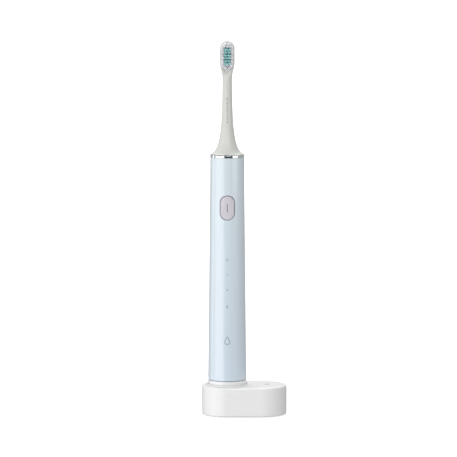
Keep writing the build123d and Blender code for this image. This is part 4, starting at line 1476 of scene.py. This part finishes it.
        # Rows of filaments lie in each other's gaps, so they are closer than the filaments in a row.
        rise = 0.866 * pitch
        copies = []
        reach = math.ceil(room / rise)
        for row in range(-reach, reach + 1):
            for column in range(-reach, reach + 1):
                across = (column + 0.5 * (row % 2)) * pitch
                height = row * rise
                if math.hypot(across, height) > room:
                    continue
                strand = filament.copy()
                strand.data = filament.data.copy()
                bpy.context.scene.collection.objects.link(strand)
                aside = splay[0] * across + draw.uniform(-self.unruly, self.unruly)
                upward = splay[1] * height + draw.uniform(-self.unruly, self.unruly)
                lean = (aside, -1.0, upward)
                tilt = Vector((0, -1, 0)).rotation_difference(Vector(lean)).to_matrix().to_4x4()
                longer = Matrix.Diagonal((1, 1 + draw.uniform(*self.trim), 1, 1))
                place = Matrix.Translation(Vector((across, 0, height)) * MM)
                strand.data.transform(place @ tilt @ longer)
                copies.append(strand)
        return join(copies, "tuft")

    def filament(self) -> bpy.types.Object:
        """Models one nylon filament with a slightly chamfered tip, its root at the origin.

        Returns:
            The filament.
        """
        clear_selection()
        length = self.tuft_root + self.tuft_length
        bpy.ops.mesh.primitive_cylinder_add(
            vertices=6,
            radius=self.filament_radius * MM,
            depth=length * MM,
            location=(0, -length * MM / 2, 0),
            rotation=(math.pi / 2, 0, 0),
        )
        obj = take("filament")
        bpy.ops.object.transform_apply(location=True, rotation=True, scale=True)
        with editing(obj):
            choose(obj, "FACE", lambda c: all(v.y < -length + 0.01 for v in c))
            bpy.ops.mesh.inset(thickness=0.025 * MM, depth=0.02 * MM)
        return obj

    def bristles(self) -> tuple[bpy.types.Object, bpy.types.Object]:
        """Models the bristles from one filament.

        Returns:
            The teal bristles and the white ones.
        """
        draw = random.Random(self.seed)
        filament = self.filament()
        root = -self.head_front + self.tuft_root
        made = []
        kinds = (("teal_filaments", self.teal_splay), ("white_filaments", self.white_splay))
        for (name, splay), spots in zip(kinds, self.tuft_spots()):
            model = self.tuft(filament, splay, draw)
            tufts = []
            for across, height in spots:
                copy = model.copy()
                copy.data = model.data.copy()
                bpy.context.scene.collection.objects.link(copy)
                spun = Matrix.Rotation(draw.choice((0, math.pi)), 4, "Y")
                place = Matrix.Translation(Vector((DOCK_X + across, root, height)) * MM)
                copy.data.transform(place @ spun)
                tufts.append(copy)
            bpy.data.objects.remove(model)
            obj = join(tufts, name)
            obj.matrix_world = Matrix.Identity(4)
            pick_only(obj)
            bpy.ops.object.shade_smooth_by_angle(angle=math.radians(self.tip_sharp))
            made.append(obj)
        bpy.data.objects.remove(filament)
        return made[0], made[1]

    def neck_print(self) -> bpy.types.Object:
        """Models the column of small plain dashes printed on the neck.

        Returns:
            The dashes as one piece.
        """
        curve = self.neck_curve(60)

        def neck(height: float) -> float:
            """Radius of the neck at a height."""
            above = next(n for n, point in enumerate(curve) if point[1] >= height)
            (r0, z0), (r1, z1) = curve[above - 1], curve[above]
            return r0 + (r1 - r0) * (height - z0) / (z1 - z0)

        at = self.print_z
        made = []
        for length in self.print_lengths:
            clear_selection()
            place = (DOCK_X * MM, 0.02 * MM, (at + length / 2) * MM)
            size = (self.print_width * MM, 0.1 * MM, length * MM)
            bpy.ops.mesh.primitive_cube_add(size=1, location=place, scale=size)
            dash = take("dash")
            bpy.ops.object.transform_apply(location=True, rotation=True, scale=True)
            with editing(dash):
                bpy.ops.mesh.select_all(action="SELECT")
                bpy.ops.mesh.subdivide(number_cuts=3)
            wrap(dash, neck)
            made.append(dash)
            at += length + self.print_gap
        return settle(join(made, "neck_dashes"))

    def build(self) -> None:
        """Models every piece of the brush head."""
        self.keep(self.body(), BRUSH_BODY, "brush_head", "brush_white", "brush_body")
        self.keep(self.plate(), TUFT_PLATE, "brush_head", "brush_white", "tuft_plate")
        self.keep(self.neck_print(), NECK_INK, "brush_head", "mark_grey")
        teal, white = self.bristles()
        self.keep(teal, TEAL_NYLON, "brush_head", "bristle_teal", "bristles_teal")
        self.keep(white, WHITE_NYLON, "brush_head", "bristle_white", "bristles_white")


# ------------------------------------------------------------------------------------ studio


@dataclass(frozen=True)
class Softbox:
    """A soft rectangular light that looks at a point on the object."""

    name: str
    place: tuple[float, float, float]
    width: float
    height: float
    power: float


@dataclass(frozen=True)
class Card:
    """An upright card that only shows in glossy surfaces, turned about Z by an angle in degrees."""

    name: str
    place: tuple[float, float, float]
    turned: float
    width: float
    height: float
    colour: str
    glow: float


@dataclass
class Studio:
    """The pale floor, the surroundings, the lights and the camera."""

    camera_place: tuple[float, float, float] = (-0.0115, -2.6, 0.430)
    camera_pitch: float = 6.433
    lens: float = 282.25
    aim: tuple[float, float, float] = (-0.0115, 0.0, 0.13)
    boxes: tuple[Softbox, ...] = (
        Softbox("key_left", (-1.74, -1.36, 0.25), 2.9, 2.2, 28.0),
        Softbox("strip_left", (-1.9, 0.6, 0.4), 0.35, 1.5, 4.0),
        Softbox("overhead", (0.1, 1.2, 2.0), 1.8, 1.8, 38.0),
        Softbox("fill_front", (0.5, -2.6, 1.2), 1.2, 0.8, 26.0),
    )
    surroundings: float = 0.44
    floor_near: float = 0.35
    floor_far: float = 0.72
    cards: tuple[Card, ...] = (
        Card("grey_card", (0.25, -1.5, 0.0), 0.0, 1.7, 0.9, "505E5E", 0.0),
        Card("white_card", (0.41, -0.287, 0.165), 55.0, 0.33, 0.09, "FFFFFF", 0.9),
    )

    def floor(self) -> None:
        """Lays the floor: matt white paper, evenly lit out to where it meets the backdrop."""
        clear_selection()
        bpy.ops.mesh.primitive_plane_add(size=40)
        obj = take("floor")
        paper, tree = blank_material("floor_matt_paper")
        where = add_node(tree, "ShaderNodeTexCoord").outputs["Object"]
        reach = add_node(tree, "ShaderNodeVectorMath", {"operation": "LENGTH"}, {0: where}).outputs["Value"]
        span = {1: 0.3, 2: 1.6, 3: self.floor_near, 4: self.floor_far}
        glow = add_node(tree, "ShaderNodeMapRange", span, {0: reach}).outputs[0]
        white = linear("FFFFFF")
        look = {"Base Color": white, "Roughness": 0.9, "Specular IOR Level": 0.0, "Emission Color": white}
        surface = add_node(tree, "ShaderNodeBsdfPrincipled", look, {"Emission Strength": glow})
        add_node(tree, "ShaderNodeOutputMaterial", {}, {"Surface": surface.outputs[0]})
        obj.data.materials.append(paper)
        # Light goes through the floor, so that it doesn't fill in the shade on upright surfaces.
        obj.visible_diffuse = False
        obj.visible_glossy = False
        obj.visible_shadow = False
        obj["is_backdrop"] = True

    def stand_cards(self) -> None:
        """Stands the cards round the front, a dark one that glossy surfaces show as a band and a pale one."""
        for card in self.cards:
            clear_selection()
            turned = (math.pi / 2, 0, math.radians(card.turned))
            bpy.ops.mesh.primitive_plane_add(size=1, location=card.place, rotation=turned)
            obj = take(card.name)
            obj.scale = (card.width, card.height, 1)
            bpy.ops.object.transform_apply(location=True, rotation=True, scale=True)
            paint, tree = blank_material(f"{card.name}_matt_paint")
            colour = linear(card.colour)
            look = {"Base Color": colour, "Roughness": 0.9, "Specular IOR Level": 0.0}
            look |= {"Emission Color": colour, "Emission Strength": card.glow}
            surface = add_node(tree, "ShaderNodeBsdfPrincipled", look)
            add_node(tree, "ShaderNodeOutputMaterial", {}, {"Surface": surface.outputs[0]})
            obj.data.materials.append(paint)
            obj.visible_camera = False
            obj.visible_diffuse = False
            obj.visible_shadow = False
            obj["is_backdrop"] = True

    def world(self) -> None:
        """Surrounds the object with even light, behind it a clean white."""
        world = bpy.data.worlds.new("studio_white")
        world.use_nodes = True
        tree = world.node_tree
        tree.nodes.clear()
        seen = add_node(tree, "ShaderNodeLightPath").outputs["Is Camera Ray"]
        span = {3: self.surroundings, 4: 1.0}
        strength = add_node(tree, "ShaderNodeMapRange", span, {0: seen}).outputs[0]
        back = add_node(tree, "ShaderNodeBackground", {"Color": (1, 1, 1, 1)}, {"Strength": strength})
        add_node(tree, "ShaderNodeOutputWorld", {}, {"Surface": back.outputs[0]})
        bpy.context.scene.world = world

    def lights(self) -> None:
        """Sets up the softboxes."""
        for box in self.boxes:
            clear_selection()
            away = Vector(box.place) - Vector(self.aim)
            turned = away.to_track_quat("Z", "Y").to_euler()
            bpy.ops.object.light_add(type="AREA", location=box.place, rotation=turned)
            lamp = bpy.context.active_object
            lamp.name = box.name
            lamp.data.shape = "RECTANGLE"
            lamp.data.size = box.width
            lamp.data.size_y = box.height
            lamp.data.energy = box.power
            lamp.visible_camera = False

    def camera(self) -> None:
        """Sets up the camera in front of the brush, above its top and looking slightly down."""
        clear_selection()
        turned = Euler((math.radians(90 - self.camera_pitch), 0, 0))
        bpy.ops.object.camera_add(location=self.camera_place, rotation=turned)
        camera = bpy.context.active_object
        camera.name = "camera"
        camera.data.sensor_width = 36
        camera.data.lens = self.lens
        camera.data.clip_end = 100
        bpy.context.scene.camera = camera

    def build(self) -> None:
        """Sets up the whole studio."""
        bpy.context.scene.view_settings.view_transform = "Standard"
        self.floor()
        self.stand_cards()
        self.world()
        self.lights()
        self.camera()


def dress_cad_nodes(nodes: dict[str, bpy.types.Object]) -> None:
    """Gives the CAD nodes that stay their finishes.

    Args:
        nodes: The frame's nodes by name.
    """
    for name, finish in CAD_FINISHES.items():
        mesh = nodes[name].data
        mesh.materials.clear()
        mesh.materials.append(finish.make())


def corners() -> list[list[float]]:
    """Lowest and highest corner of what shows, as plain lists in metres."""
    return [list(corner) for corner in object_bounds()]


def main() -> None:
    logging.basicConfig(level=logging.INFO, format="%(name)s %(message)s")
    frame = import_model()
    Studio().build()
    for assembly in (ChargingBase(), Handle(), PowerButton(), BrushHead()):
        assembly.build()
        assembly.dress()
    dress_cad_nodes(frame["nodes"])


if __name__ == "__main__":
    main()
